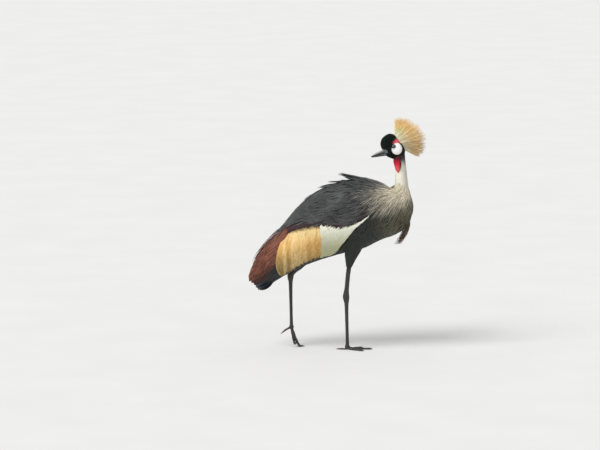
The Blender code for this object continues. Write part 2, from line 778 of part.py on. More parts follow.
def toe_knots(toe_root, turn, length, radius, lifted, hind):
    """Knots of a toe; its underside comes down to the floor and lies along it."""
    ahead = Vector((math.cos(math.radians(turn)), math.sin(math.radians(turn)), 0))
    floor = radius * SOLE_DEPTH
    if hind and lifted:
        shape = [(0, toe_root.z), (0.35, toe_root.z - 0.006), (0.7, toe_root.z - 0.013), (1.0, toe_root.z - 0.022)]
    elif not lifted:
        shape = [(0, toe_root.z), (0.22, floor), (0.6, floor), (1.0, floor)]
    else:
        reach = min(math.sqrt(max(1 - (toe_root.z / length) ** 2, 0.08)), 0.62)
        drop = max(floor, toe_root.z - length * 0.985)
        shape = [(reach * t, mix(drop, toe_root.z, max(1 - t / 0.78, 0) ** 1.35)) for t in (0, 0.22, 0.48, 0.78, 1.0)]
    swell = [1.15, 1.0, 0.92, 0.72] if len(shape) == 4 else [1.15, 1.0, 0.96, 0.88, 0.72]
    return np.array([(*(toe_root + ahead * length * run).xy, z, radius * s) for (run, z), s in zip(shape, swell)])


def build_foot(which, toe_root, lifted):
    """Toes fused at their root, and a claw at the end of each."""
    foot = ball(f"foot_{which}", (0.0102,) * 3, toe_root, (0, 0, 0), 10, 7)
    press_flat(foot)
    outward = -1 if which == "right" else 1
    toes, claws = [], []
    for name, turn, length, radius in TOES:
        knots = toe_knots(toe_root, -outward * turn, length, radius, lifted, name == "hind")
        toe = tube(f"toe_{name}", knots, 6, 1)
        end = Vector(knots[-1][:3])
        ahead = (end - Vector(knots[-2][:3])).normalized()
        base = end - ahead * radius * 0.9
        line = [(0, 0.10, 0.52), (0.5, 0.16, 0.46), (0.9, -0.04, 0.28), (1.2, -0.36, 0.09)]
        claw = tube(f"claw_{which}_{name}", np.array(
            [(*(base + ahead * CLAW_LENGTH * run + Vector((0, 0, radius * z))), radius * r) for run, z, r in line]), 6, 1)
        press_flat(toe)
        press_flat(claw)
        cut(claw, swollen(toe))
        toes.append(toe)
        claws.append(claw)
    fuse(foot, toes)
    return foot, claws


def press_flat(obj):
    """Presses the underside onto the floor, z = 0."""
    for v in obj.data.vertices:
        v.co.z = max(v.co.z, 0.0)


def centre_on_floor(objects):
    """Moves every node so that the whole bird's box is centred over the origin, on z = 0."""
    points = np.array([v.co for obj in objects for v in obj.data.vertices])
    low, high = points.min(axis=0), points.max(axis=0)
    shift = Vector((-(low[0] + high[0]) / 2, -(low[1] + high[1]) / 2, -low[2]))
    for obj in objects:
        obj.data.transform(Matrix.Translation(shift))
    print("box", [round(float(c) * 1000) for c in high - low], "shift", [round(c, 5) for c in shift])


for obj in list(bpy.data.objects):
    bpy.data.objects.remove(obj)
crane = make_collection("grey_crowned_crane")
cutters = make_collection("cutters")
scratch = make_collection("scratch")
cutters.hide_render = True

# Torso first: what touches it is cut to it
torso = build_torso()
torso_cutter = swollen(torso)
fuse(torso, mantle() + flank_plumes(-1) + flank_plumes(1) + breast_tuft())
finish(torso, "slate")

head = profile_loft("head", HEAD, 18, 15)
head_cutter = swollen(head)
fuse(head, [lid_ring(-1), lid_ring(1), cheek_pad(-1), cheek_pad(1)])
for side in (-1, 1):
    eye = build_eye(side)
    cut(head, swollen(eye))
    finish(eye, "eye_blue")
finish(head, "black_velvet")

neck = build_neck()
neck_cutter = swollen(neck)
fuse(neck, hackles(neck))
cut(neck, torso_cutter, head_cutter)
finish(neck, "neck_grey")

bill_upper = profile_loft("bill_upper", BILL_UPPER, 12, 9)
bill_lower = profile_loft("bill_lower", BILL_LOWER, 10, 9)
cut(bill_upper, head_cutter, nostril(-1), nostril(1))
cut(bill_lower, head_cutter)
finish(bill_upper, "bill_horn")
finish(bill_lower, "bill_horn")

crest = build_crest()
cut(crest, head_cutter)
finish(crest, "crest_gold")
wattle = build_wattle()
cut(wattle, head_cutter, neck_cutter)
finish(wattle, "wattle_red")

wing_tools = {}
for which, thigh_knots, shank_knots, lifted in (("right", NEAR_THIGH, NEAR_SHANK, False),
                                                ("left", FAR_THIGH, FAR_SHANK, True)):
    thigh = tube(f"thigh_{which}", thigh_knots, 12, 1)
    thigh_cutter = swollen(thigh)
    shank = tube(f"shank_{which}", shank_knots, 8, 1)
    shank_cutter = swollen(shank)
    wing_tools[which] = (thigh_cutter, shank_cutter)
    cut(thigh, torso_cutter)
    cut(shank, thigh_cutter)
    foot, claws = build_foot(which, Vector(shank_knots[-1][:3]), lifted)
    cut(foot, shank_cutter)
    finish(thigh, "slate")
    finish(shank, "leg_dark")
    finish(foot, "leg_dark")
    for claw in claws:
        finish(claw, "claw_horn")

tail, tail_cutter = build_tail()
cut(tail, torso_cutter)
finish(tail, "tail_black")
for which, side in (("right", -1), ("left", 1)):
    wing = build_wing(side)
    cut(wing, torso_cutter, tail_cutter, *wing_tools[which])
    finish(wing, "wing_mix")

for leftover in list(scratch.objects):
    bpy.data.objects.remove(leftover)
bpy.data.collections.remove(scratch)
for tool in cutters.objects:
    tool.hide_render = True
    tool.display_type = "WIRE"
centre_on_floor(list(crane.objects))
for obj in crane.objects:
    print(obj.name, len(obj.data.polygons), "triangles")
print("all nodes", sum(len(obj.data.polygons) for obj in crane.objects), "triangles")
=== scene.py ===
# Looks of the grey crowned crane: skin, plumage, crest, bill, wattle, legs, floor and light
import math

import bpy
import numpy as np
from mathutils import Matrix, Vector
from mathutils.bvhtree import BVHTree


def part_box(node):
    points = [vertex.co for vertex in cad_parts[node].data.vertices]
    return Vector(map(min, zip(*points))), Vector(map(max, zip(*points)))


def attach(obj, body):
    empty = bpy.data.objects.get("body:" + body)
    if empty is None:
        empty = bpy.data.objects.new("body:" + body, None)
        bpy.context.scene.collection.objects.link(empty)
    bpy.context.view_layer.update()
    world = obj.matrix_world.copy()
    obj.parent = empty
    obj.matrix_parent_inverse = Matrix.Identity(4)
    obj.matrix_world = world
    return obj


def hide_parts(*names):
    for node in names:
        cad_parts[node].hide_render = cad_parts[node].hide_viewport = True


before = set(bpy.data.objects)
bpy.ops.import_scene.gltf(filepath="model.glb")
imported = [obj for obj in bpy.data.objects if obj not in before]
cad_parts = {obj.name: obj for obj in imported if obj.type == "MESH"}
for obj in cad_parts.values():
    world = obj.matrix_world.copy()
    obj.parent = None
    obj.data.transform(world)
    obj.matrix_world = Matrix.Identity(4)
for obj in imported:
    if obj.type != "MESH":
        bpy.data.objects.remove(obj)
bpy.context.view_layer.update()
bpy.ops.object.select_all(action="DESELECT")
dice = np.random.default_rng(11)
yAxis = Vector((0, 1, 0))

# The bird's forms, in the lengths of its solids. Everything is shaped in these and then moved home,
# which the place of an eye gives.
headTurn = (7.0, (0.254, 0, 0))     # degrees towards the bird's right, and the pivot
eye = {"x": 0.2248, "y": 0.0205, "z": 0.8405, "radius": 0.0075, "iris": 66, "pupil": 30,
       "lidRing": 0.0076, "lidThick": 0.0014, "lidOut": 0.0048, "upperLid": 0.0035,
       "lidSqueeze": (0.96, 1.0, 0.72), "bareRing": 0.0078}
birdForm = {
    # breast to tail: top x, top z, bottom x, bottom z, half width
    "body": [
        (0.304, 0.600, 0.306, 0.590, 0.006), (0.291, 0.640, 0.297, 0.545, 0.047),
        (0.255, 0.650, 0.275, 0.500, 0.069), (0.209, 0.671, 0.235, 0.474, 0.087),
        (0.150, 0.692, 0.175, 0.452, 0.102), (0.094, 0.702, 0.105, 0.418, 0.112),
        (0.030, 0.690, 0.030, 0.400, 0.117), (-0.040, 0.670, -0.040, 0.380, 0.116),
        (-0.111, 0.629, -0.105, 0.358, 0.110), (-0.170, 0.574, -0.165, 0.331, 0.098),
        (-0.225, 0.506, -0.215, 0.305, 0.082), (-0.280, 0.450, -0.257, 0.279, 0.062),
        (-0.325, 0.392, -0.289, 0.256, 0.045), (-0.358, 0.331, -0.321, 0.248, 0.028),
        (-0.367, 0.280, -0.347, 0.256, 0.010)],
    # breast to chin: x, z, half depth, half width
    "neck": [
        (0.232, 0.590, 0.056, 0.052), (0.250, 0.622, 0.047, 0.043), (0.2605, 0.648, 0.0345, 0.034),
        (0.262, 0.672, 0.0275, 0.0275), (0.261, 0.700, 0.0250, 0.0240), (0.259, 0.740, 0.0225, 0.0218),
        (0.256, 0.780, 0.0208, 0.0198), (0.253, 0.812, 0.0200, 0.0185), (0.251, 0.830, 0.0130, 0.0120)],
    # nape to forehead: x, top z, bottom z, half width
    "head": [
        (0.2755, 0.820, 0.814, 0.002), (0.2715, 0.838, 0.796, 0.0150), (0.260, 0.857, 0.785, 0.0220),
        (0.245, 0.8735, 0.783, 0.0248), (0.228, 0.8840, 0.785, 0.0252), (0.212, 0.8870, 0.791, 0.0238),
        (0.198, 0.8820, 0.799, 0.0205), (0.186, 0.8730, 0.815, 0.0160), (0.178, 0.8620, 0.833, 0.0100),
        (0.1745, 0.851, 0.845, 0.002)],
    # x, y, z, radius
    "thigh_right": [
        (0.068, -0.050, 0.450, 0.040), (0.062, -0.048, 0.418, 0.033), (0.054, -0.045, 0.385, 0.0225),
        (0.0485, -0.041, 0.352, 0.0125), (0.0475, -0.040, 0.344, 0.0090)],
    "thigh_left": [
        (0.030, 0.044, 0.452, 0.036), (-0.010, 0.046, 0.432, 0.029), (-0.060, 0.050, 0.400, 0.020),
        (-0.110, 0.053, 0.364, 0.0125), (-0.119, 0.053, 0.357, 0.0092)],
    "shank_right": [
        (0.0520, -0.0425, 0.372, 0.0088), (0.0445, -0.037, 0.320, 0.0090), (0.0395, -0.031, 0.262, 0.0089),
        (0.0370, -0.0285, 0.237, 0.0112), (0.0362, -0.027, 0.2215, 0.0132), (0.0368, -0.0255, 0.2060, 0.0109),
        (0.0380, -0.024, 0.1880, 0.0080), (0.0400, -0.018, 0.1100, 0.0067), (0.0418, -0.013, 0.0400, 0.0067),
        (0.0420, -0.012, 0.0125, 0.0080)],
    "shank_left": [
        (-0.095, 0.053, 0.3755, 0.0088), (-0.140, 0.054, 0.342, 0.0088), (-0.168, 0.054, 0.321, 0.0094),
        (-0.184, 0.054, 0.308, 0.0116), (-0.1905, 0.054, 0.2965, 0.0130), (-0.1915, 0.054, 0.2820, 0.0104),
        (-0.1905, 0.054, 0.2660, 0.0079), (-0.1890, 0.054, 0.1850, 0.0064), (-0.1875, 0.054, 0.1100, 0.0064),
        (-0.1870, 0.054, 0.0830, 0.0078)],
}
neckRows = np.array(birdForm["neck"])
neckFoot = (0.262, 0, 0.655)


def mix(a, b, t):
    return a + (b - a) * t


def ease(value, start, stop):
    t = np.clip((np.asarray(value, float) - start) / (stop - start), 0, 1)
    return t * t * (3 - 2 * t)


def unit(v):
    return v / (np.linalg.norm(v, axis=-1, keepdims=True) + 1e-12)


# Smooth value at fractional places of a list of knots
def between(knots, at):
    knots = np.asarray(knots, float)
    last = len(knots) - 1
    at = np.clip(np.asarray(at, float), 0, last)
    i = np.minimum(at.astype(int), last - 1)
    t = (at - i)[..., None]
    p0, p1 = knots[np.maximum(i - 1, 0)], knots[i]
    p2, p3 = knots[i + 1], knots[np.minimum(i + 2, last)]
    return 0.5 * (2 * p1 + (p2 - p0) * t + (2 * p0 - 5 * p1 + 4 * p2 - p3) * t ** 2
                  + (3 * p1 - p0 - 3 * p2 + p3) * t ** 3)


def spun(degrees, pivot):
    return (Matrix.Translation(pivot) @ Matrix.Rotation(math.radians(degrees), 4, "Z")
            @ Matrix.Translation(pivot).inverted())


def moved(spots, matrix):
    swing = np.array(matrix)
    return spots @ swing[:3, :3].T + swing[:3, 3]


headSwing = spun(*headTurn)
headBack = headSwing.inverted()
eyeLow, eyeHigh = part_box("eye_left")
home = (eyeLow + eyeHigh) / 2 - headSwing @ Vector((eye["x"], -eye["y"], eye["z"]))


# One section of a form: x, y, z, half height, half width, lean in the xz plane
def section(name, row, ahead):
    if name == "body":
        topX, topZ, lowX, lowZ, half = row
        return ((topX + lowX) / 2, 0, (topZ + lowZ) / 2, math.hypot(topX - lowX, topZ - lowZ) / 2, half,
                math.atan2(topX - lowX, topZ - lowZ))
    if name == "neck":
        x, z, deep, wide = row
        return (x, 0, z, deep, wide, math.pi / 2)
    if name in ("head", "bill"):
        x, top, low, half = row
        return (x, 0, (top + low) / 2, (top - low) / 2, half, 0)
    x, y, z, radius = row
    return (x, y, z, radius, radius, math.atan2(-ahead[2], ahead[0]))


def sections(name, per=1, rows=None):
    rows = np.array(rows or birdForm[name], float)
    steps = per * (len(rows) - 1)
    fine = between(rows, np.arange(steps + 1) / per)
    ways = np.gradient(fine, axis=0)
    return [section(name, fine[k], ways[k]) for k in range(steps + 1)]


# Rings of a form for the feathers that lie on it: centre, upward half axis, sideways half axis
def formRings(name):
    rings = []
    for x, y, z, up, side, lean in sections(name):
        centre = Vector((x, y, z))
        upward = Vector((math.sin(lean), 0, math.cos(lean))) * up
        sideways = yAxis * side
        if name == "head":
            centre = headSwing @ centre
            sideways = headSwing.to_3x3() @ sideways
        rings.append((*centre, *upward, *sideways))
    return np.array(rings)


forms = {name: formRings(name) for name in birdForm}


# Points of a form. around is 90 on its upper line, 0 at its side, -90 on its lower line.
def on(name, along, around, lift=0.0, side=1):
    along, around, lift = np.broadcast_arrays(np.asarray(along, float), around, lift)
    ends = forms[name]
    inside = np.clip(along, 0, len(ends) - 1)
    ring = between(ends, inside)
    centre, up, out = ring[..., 0:3], ring[..., 3:6], ring[..., 6:9]
    slope = np.where((along > inside)[..., None], ends[-1, :3] - ends[-2, :3], ends[1, :3] - ends[0, :3])
    centre = centre + slope * (along - inside)[..., None]    # straight on past either end
    turn = np.radians(around)[..., None]
    upLength = np.linalg.norm(up, axis=-1, keepdims=True) + 1e-9
    outLength = np.linalg.norm(out, axis=-1, keepdims=True) + 1e-9
    raised = lift[..., None]
    return (centre + up / upLength * np.maximum(upLength + raised, 0.0004) * np.sin(turn)
            + side * out / outLength * np.maximum(outLength + raised, 0.0004) * np.cos(turn))


def outward(name, along, around, side=1):
    ahead = on(name, along + 0.06, around, 0, side) - on(name, along - 0.06, around, 0, side)
    across = on(name, along, around + 1.5, 0, side) - on(name, along, around - 1.5, 0, side)
    normal = unit(np.cross(ahead, across))
    middle = between(forms[name], along)[..., 0:3]
    inside = np.sum(normal * (on(name, along, around, 0, side) - middle), axis=-1, keepdims=True) < 0
    return np.where(inside, -normal, normal)


shades = {name: np.array(colour) for name, colour in {
    "slate": (0.054, 0.055, 0.054), "slateEdge": (0.118, 0.119, 0.116), "slateDark": (0.013, 0.013, 0.014),
    "flank": (0.022, 0.025, 0.020), "breast": (0.120, 0.112, 0.066), "brown": (0.13, 0.085, 0.050),
    "hackle": (0.66, 0.59, 0.44), "hackleGrey": (0.34, 0.305, 0.235),
    # the neck's second grey is painted shade for its rear side
    "neck": (0.86, 0.82, 0.70), "neckShadedSide": (0.60, 0.58, 0.49), "smoke": (0.045, 0.045, 0.052),
    # the velvet's green is a painted sheen
    "black": (0.0050, 0.0062, 0.0062), "velvetSheenGreen": (0.006, 0.024, 0.018),
    "cheek": (0.93, 0.93, 0.92), "cheekRed": (0.74, 0.085, 0.13), "cheekRedEdge": (0.22, 0.008, 0.022),
    # the white's olive second colour is painted shade with a painted reflection of grass
    "billRoot": (0.15, 0.145, 0.15), "white": (0.92, 0.92, 0.78), "whiteInPaintedShade": (0.35, 0.355, 0.165),
    # the gold's deep olive is painted shade low on the plumes
    "cream": (0.86, 0.68, 0.34), "gold": (0.70, 0.39, 0.105), "goldInPaintedShade": (0.21, 0.145, 0.042),
    "peach": (0.88, 0.65, 0.31), "chestnut": (0.200, 0.064, 0.037), "chestnutEdge": (0.38, 0.165, 0.105),
    "maroon": (0.040, 0.010, 0.012), "umber": (0.022, 0.013, 0.012), "wingRim": (0.46, 0.34, 0.30),
    "tail": (0.022, 0.023, 0.027), "tailEdge": (0.072, 0.076, 0.088), "rump": (0.012, 0.012, 0.015),
    "crestPale": (1.0, 0.90, 0.64), "crest": (0.97, 0.73, 0.37), "crestTip": (0.76, 0.51, 0.21),
    # the horn's pale top is a painted highlight
    "hornLitTop": (0.36, 0.37, 0.32), "hornSide": (0.045, 0.048, 0.046), "hornBase": (0.100, 0.095, 0.105),
    # the gape's near black is painted shade between the mandibles
    "hornUnder": (0.045, 0.047, 0.046), "gapeShadow": (0.018, 0.019, 0.019), "claw": (0.022, 0.021, 0.020),
    # the wattle's dark top is painted shadow and its lit red a painted highlight
    "wattleTopShadow": (0.060, 0.004, 0.009), "wattle": (0.60, 0.018, 0.040), "wattleLit": (0.78, 0.10, 0.12),
    # the wattle's dark rear is painted shade
    "wattleRearShade": (0.07, 0.006, 0.010), "leg": (0.031, 0.030, 0.023),
}.items()}


def blend(a, b, share):
    a = shades[a] if isinstance(a, str) else a
    b = shades[b] if isinstance(b, str) else b
    return mix(a, b, np.asarray(share)[..., None])


# Pale at the foot of the neck, olive grey on the breast, nearly black behind, and darker low down with
# painted shade under the body
def bodyShade(places, share=None):
    x, z = places[..., 0], places[..., 2]
    distance = np.linalg.norm((places - neckFoot) * (0.85, 0.7, 0.85), axis=-1)
    colour = blend("hackle", "hackleGrey", ease(distance, 0.02, 0.075))
    colour = blend(colour, "breast", ease(distance, 0.055, 0.115))
    # darker behind, and darker low down with painted shade under the body
    dark = np.clip(ease(0.285 - x, 0.02, 0.17) + 0.5 * ease(0.50 - z, 0, 0.08), 0, 1)
    return blend(colour, "flank", dark * ease(distance, 0.07, 0.13))


# Pale grey, white on the front side where the light falls, greyed by painted shade on the rear side, smoky
# down the nape from the head
def neckTint(places, share=None):
    height = places[..., 2]
    rear = ease(places[..., 0] - np.interp(height, neckRows[:, 1], neckRows[:, 0]), -0.006, 0.018)
    # painted shade: the rear side, away from the light, is painted grey
    colour = blend("neck", "neckShadedSide", 0.8 * rear)
    colour = blend(colour, "hackle", 0.5 * ease(0.71 - height, 0, 0.05))
    smoke = ease(height, mix(0.768, 0.750, rear), mix(0.786, 0.790, rear))
    return blend(blend(colour, "smoke", smoke), "black", 0.8 * ease(height, 0.780, 0.802))


# Materials

def makeMaterial(name, base, roughness, build=None, **sockets):
    mat = bpy.data.materials.new(name)
    mat.use_nodes = True
    shader = mat.node_tree.nodes["Principled BSDF"]
    shader.inputs["Base Color"].default_value = (*base, 1)
    shader.inputs["Roughness"].default_value = roughness
    for key, value in sockets.items():
        shader.inputs[key.replace("_", " ")].default_value = value
    if build:
        build(mat.node_tree, shader)
    return mat


# Gives a node's input a value or another node's output
def feed(tree, slot, value):
    if isinstance(value, bpy.types.NodeSocket):
        tree.links.new(value, slot)
    else:
        slot.default_value = value


def sums(tree, operation, a, b=0.0):
    node = tree.nodes.new("ShaderNodeMath")
    node.operation = operation
    feed(tree, node.inputs[0], a)
    feed(tree, node.inputs[1], b)
    return node.outputs[0]


def rerange(tree, value, low, high, newLow, newHigh):
    node = tree.nodes.new("ShaderNodeMapRange")
    ends = {"From Min": low, "From Max": high, "To Min": newLow, "To Max": newHigh}
    for key, number in {"Value": value, **ends}.items():
        feed(tree, node.inputs[key], number)
    return node.outputs["Result"]


def noiseAt(tree, scale, detail=3.0, stretch=(1, 1, 1)):
    where = tree.nodes.new("ShaderNodeTexCoord")
    turn = tree.nodes.new("ShaderNodeMapping")
    turn.inputs["Scale"].default_value = stretch
    tree.links.new(where.outputs["Object"], turn.inputs["Vector"])
    noise = tree.nodes.new("ShaderNodeTexNoise")
    noise.inputs["Scale"].default_value = scale
    noise.inputs["Detail"].default_value = detail
    tree.links.new(turn.outputs[0], noise.inputs["Vector"])
    return noise.outputs[0]


# A factor that wanders between two values
def patchy(tree, low, high, scale, detail=3.0, stretch=(1, 1, 1)):
    return rerange(tree, noiseAt(tree, scale, detail, stretch), 0.3, 0.7, low, high)


# The base colour is one colour, or else the points' own tint, times a factor
def coloured(tree, shader, factor, colour=None):
    if colour is None:
        tint = tree.nodes.new("ShaderNodeAttribute")
        tint.attribute_name = "tint"
        colour = tint.outputs["Color"]
    node = tree.nodes.new("ShaderNodeVectorMath")
    node.operation = "SCALE"
    feed(tree, node.inputs[0], colour)
    feed(tree, node.inputs["Scale"], factor)
    tree.links.new(node.outputs[0], shader.inputs["Base Color"])


def relief(tree, shader, height, strength, distance):
    bump = tree.nodes.new("ShaderNodeBump")
    bump.inputs["Strength"].default_value = strength
    bump.inputs["Distance"].default_value = distance
    tree.links.new(height, bump.inputs["Height"])
    tree.links.new(bump.outputs[0], shader.inputs["Normal"])


# Feather finish: the vane's tint, slanting barbs, a quill line and patchy wear
def plumage(name, barbs, contrast, roughness, sheen=0.1, sheenTint=(1, 1, 1), bump=0.3, quill=0.5):
    def build(tree, shader):
        vane = tree.nodes.new("ShaderNodeUVMap")
        vane.uv_map = "vane"
        parts = tree.nodes.new("ShaderNodeSeparateXYZ")
        tree.links.new(vane.outputs[0], parts.inputs[0])
        off = sums(tree, "ABSOLUTE", sums(tree, "SUBTRACT", parts.outputs[0], 0.5))
        slant = sums(tree, "SUBTRACT", parts.outputs[1], sums(tree, "MULTIPLY", off, 0.3))
        wave = sums(tree, "SINE", sums(tree, "MULTIPLY", slant, 2 * math.pi * barbs))
        wear = patchy(tree, 1 - contrast, 1 + contrast, 110)
        barbed = rerange(tree, wave, -1, 1, 1 - contrast / 2, 1 + contrast / 2)
        line = rerange(tree, off, 0.02, 0.09, 1 + quill, 1.0)
        coloured(tree, shader, sums(tree, "MULTIPLY", sums(tree, "MULTIPLY", wear, barbed), line))
        relief(tree, shader, wave, bump, 0.0005)
    return makeMaterial(name, (0.5, 0.5, 0.5), roughness, build, Sheen_Weight=sheen, Sheen_Roughness=0.45,
                        Sheen_Tint=(*sheenTint, 1), Specular_IOR_Level=0.3)


finishes = {
    "slate": plumage("slateFeathers", 34, 0.13, 0.50, 0.12, (0.85, 0.9, 1.0), quill=-0.35),
    "pale": plumage("paleFeathers", 30, 0.10, 0.70, 0.15, quill=0.3),
    "neck": plumage("neckDown", 30, 0.04, 0.75, 0.15, bump=0.1, quill=0.0),
    "white": plumage("whiteFeathers", 36, 0.04, 0.60, 0.05, quill=0.1),
    "gold": plumage("goldPlumes", 16, 0.08, 0.60, 0.10, (1.0, 0.9, 0.6), quill=0.15),
    "chestnut": plumage("chestnutFeathers", 60, 0.12, 0.50, 0.10, (1.0, 0.7, 0.6), quill=-0.25),
    "tail": plumage("tailFeathers", 60, 0.14, 0.42, 0.12, (0.6, 0.7, 1.0), quill=-0.4),
    "velvet": plumage("velvetFeathers", 6, 0.20, 0.72, 0.10, (0.45, 0.80, 0.70), 0.1, 0.0),
    "crest": plumage("crestBristles", 22, 0.08, 0.60, 0.40, (1.0, 0.9, 0.7), 0.1, 0.0),
}

# Feathers: many thin closed vanes in one mesh

vaneShapes = {      # places along the vane and its share of the full width there
    "lance": ([0, 0.12, 0.40, 0.72, 0.90, 1.0], [0.30, 0.66, 1.0, 0.78, 0.40, 0.05]),
    "covert": ([0, 0.15, 0.55, 0.82, 0.94, 1.0], [0.40, 0.72, 1.0, 0.88, 0.58, 0.12]),
    "plume": ([0, 0.10, 0.35, 0.75, 1.0], [0.45, 0.85, 1.0, 0.70, 0.10]),
    "flight": ([0, 0.10, 0.45, 0.85, 0.95, 1.0], [0.35, 0.70, 1.0, 0.90, 0.55, 0.12]),
    "tuft": ([0, 0.3, 1.0], [0.9, 1.0, 0.12]),
    "scute": ([0, 0.2, 0.8, 1.0], [0.85, 1.0, 1.0, 0.8]),
}


# The points of all vanes (feather, point, corner, 3)
def vanePoints(quill, normal, width, look):
    count, points = quill.shape[:2]
    ahead = unit(np.gradient(quill, axis=1))
    across = unit(np.cross(ahead, normal))
    face = unit(np.cross(across, ahead))
    roll = look.get("roll", 0.0) * dice.uniform(-1, 1, (count, 1, 1))
    across, face = across * np.cos(roll) + face * np.sin(roll), face * np.cos(roll) - across * np.sin(roll)
    half = width[:, None] / 2 * np.interp(np.linspace(0, 1, points), *vaneShapes[look["shape"]])
    half = (half * (1 + look.get("ragged", 0.0) * dice.uniform(-1, 1, (count, points))))[..., None]
    thick = look.get("thick", 0.00035)
    edgeDrop = face * half * look.get("cup", 0.14)
    ring = [quill - across * half - edgeDrop, quill + face * thick, quill + across * half - edgeDrop]
    if not look.get("slim"):
        ring.append(quill - face * thick)
    return np.stack(ring, axis=2) + np.array(home)


# The faces of one vane, turned so that they look out of it
def vaneFaces(vane):
    points, sides = vane.shape[:2]
    base = np.arange(points * sides).reshape(points, sides)
    faces = [(base[k, r], base[k, (r + 1) % sides], base[k + 1, (r + 1) % sides], base[k + 1, r])
             for k in range(points - 1) for r in range(sides)]
    faces += [tuple(base[0, ::-1]), tuple(base[-1])]
    one = vane.reshape(-1, 3) - vane.reshape(-1, 3).mean(axis=0)
    volume = sum(np.dot(one[f[0]], np.cross(one[f[k]], one[f[k + 1]]))
                 for f in faces for k in range(1, len(f) - 1))
    return [f[::-1] for f in faces] if volume < 0 else faces


# A lot is quill and normal (feather, point, 3), width (feather), tints (feather, point, 3) and the
# feathers' roots on the skin's unwrap (feather, 2)
def featherMesh(name, look, lots, *nodes):
    quill, normal, width, tints, roots = (np.concatenate([lot[k] for lot in lots]) for k in range(5))
    verts = vanePoints(quill, normal, width, look)
    count, points, sides = verts.shape[:3]
    faces = vaneFaces(verts[0])
    loop = np.array([i for f in faces for i in f])
    loops = (np.arange(count)[:, None] * points * sides + loop).ravel().astype(np.int32)
    sizes = np.tile([len(f) for f in faces], count)
    mesh = bpy.data.meshes.new(name)
    mesh.vertices.add(count * points * sides)
    mesh.vertices.foreach_set("co", verts.astype(np.float32).ravel())
    mesh.loops.add(len(loops))
    mesh.polygons.add(len(sizes))
    mesh.polygons.foreach_set("loop_start", np.concatenate([[0], np.cumsum(sizes)[:-1]]).astype(np.int32))
    mesh.loops.foreach_set("vertex_index", loops)
    mesh.update(calc_edges=True)
    colour = np.ones((count, points, sides, 4), np.float32)
    colour[..., :3] = np.clip(tints, 0, 1)[:, :, None, :]
    mesh.attributes.new("tint", "FLOAT_COLOR", "POINT").data.foreach_set("color", colour.ravel())
    vane = np.zeros((count, points, sides, 2), np.float32)
    vane[..., 0] = [0.0, 0.5, 1.0, 0.5][:sides]
    vane[..., 1] = np.linspace(0, 1, points)[None, :, None]
    patch = roots[:, None, None, :] + (vane - 0.5) * 0.003
    for layer, places in (("OFBake", patch), ("vane", vane)):
        flat = places.reshape(-1, 2).astype(np.float32)[loops]
        mesh.uv_layers.new(name=layer).data.foreach_set("uv", flat.ravel())
    mesh.shade_smooth()
    mesh.set_sharp_from_angle(angle=math.radians(50))
    mesh.materials.append(finishes[look["finish"]])
    piece = bpy.data.objects.new(name, mesh)
    bpy.context.scene.collection.objects.link(piece)
    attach(piece, "root")
    if nodes:
        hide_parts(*nodes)
    print(name, count, "feathers", count * sum(len(f) - 2 for f in faces), "triangles")


# Each feather's own brightness
def speckled(tints, spread):
    return tints * (1 + spread * dice.uniform(-1, 1, (len(tints), 1, 1)))


def unwrapped(name, along, around, side):
    return np.stack([0.5 + side * (90 - around) / 400, 0.02 + 0.96 * along / (len(forms[name]) - 1)], axis=1)


# Random numbers in a span, or one number for all
def drawn(span, count):
    return dice.uniform(*span, count) if isinstance(span, tuple) else np.full(count, float(span))


# Staggered places on a form, in rows between two edges, which are degrees or functions of along
def rowsOver(name, look, low=-90, high=90):
    along, around = [], []
    at, last = look["rows"]
    spacing, jitter, row = look["spacing"], 0.3, 0
    while at < last:
        angles = np.linspace(*(edge(at) if callable(edge) else edge for edge in (low, high)), 40)
        arc = np.linalg.norm(np.diff(on(name, at, angles), axis=0), axis=1).sum()
        step = spacing * 0.2 / np.linalg.norm(on(name, at + 0.1, angles[20]) - on(name, at - 0.1, angles[20]))
        count = max(int(arc / spacing), 0)
        share = np.arange(count) + 0.25 + 0.5 * (row % 2) + dice.uniform(-jitter, jitter, count)
        around.append(mix(angles[0], angles[-1], share / max(count, 1)))
        along.append(at + step * dice.uniform(-jitter, jitter, count))
        at += step
        row += 1
    return np.concatenate(along), np.concatenate(around)


# Feathers laid on a form from their roots. heading 0 points along the form, -90 down its side.
# lift is the height at the root, at the tip and the most by which a tip may stray higher.
def laid(name, side, along, around, look, colour, heading=0.0, longer=1.0, wider=1.0, within=None):
    t = np.linspace(0, 1, look["points"])[None, :]
    middle = np.clip(along, 0.06, len(forms[name]) - 1.06)
    perAlong = np.linalg.norm(on(name, middle + 0.05, around) - on(name, middle - 0.05, around), axis=1) / 0.1
    perDegree = np.linalg.norm(on(name, along, around + 2) - on(name, along, around - 2), axis=1) / 4
    turn = np.radians(heading + look["sway"] * dice.normal(0, 1, len(along)))
    reach = look["length"] * longer * dice.uniform(0.82, 1.12, len(along))
    width = np.broadcast_to(look["width"] * wider, len(along))
    a = along[:, None] + (reach * np.cos(turn) / perAlong)[:, None] * t
    b = around[:, None] + (reach * np.sin(turn) / perDegree)[:, None] * t
    if within:
        kept = within(a[:, -1], b[:, -1])
        a, b, along, around, width = (values[kept] for values in (a, b, along, around, width))
    count = len(along)
    rootLift, tipLift, stray = look["lift"]
    height = mix(rootLift, tipLift, ease(t, 0.0, 0.75)) + dice.uniform(0, stray, (count, 1)) * t ** 2
    quill = on(name, a, b, height, side)
    tints = speckled(colour(quill, np.broadcast_to(t, quill.shape[:2])), look["spread"])
    return (quill, outward(name, a, b, side), width * dice.uniform(0.82, 1.15, count), tints,
            unwrapped(name, along, around, side))


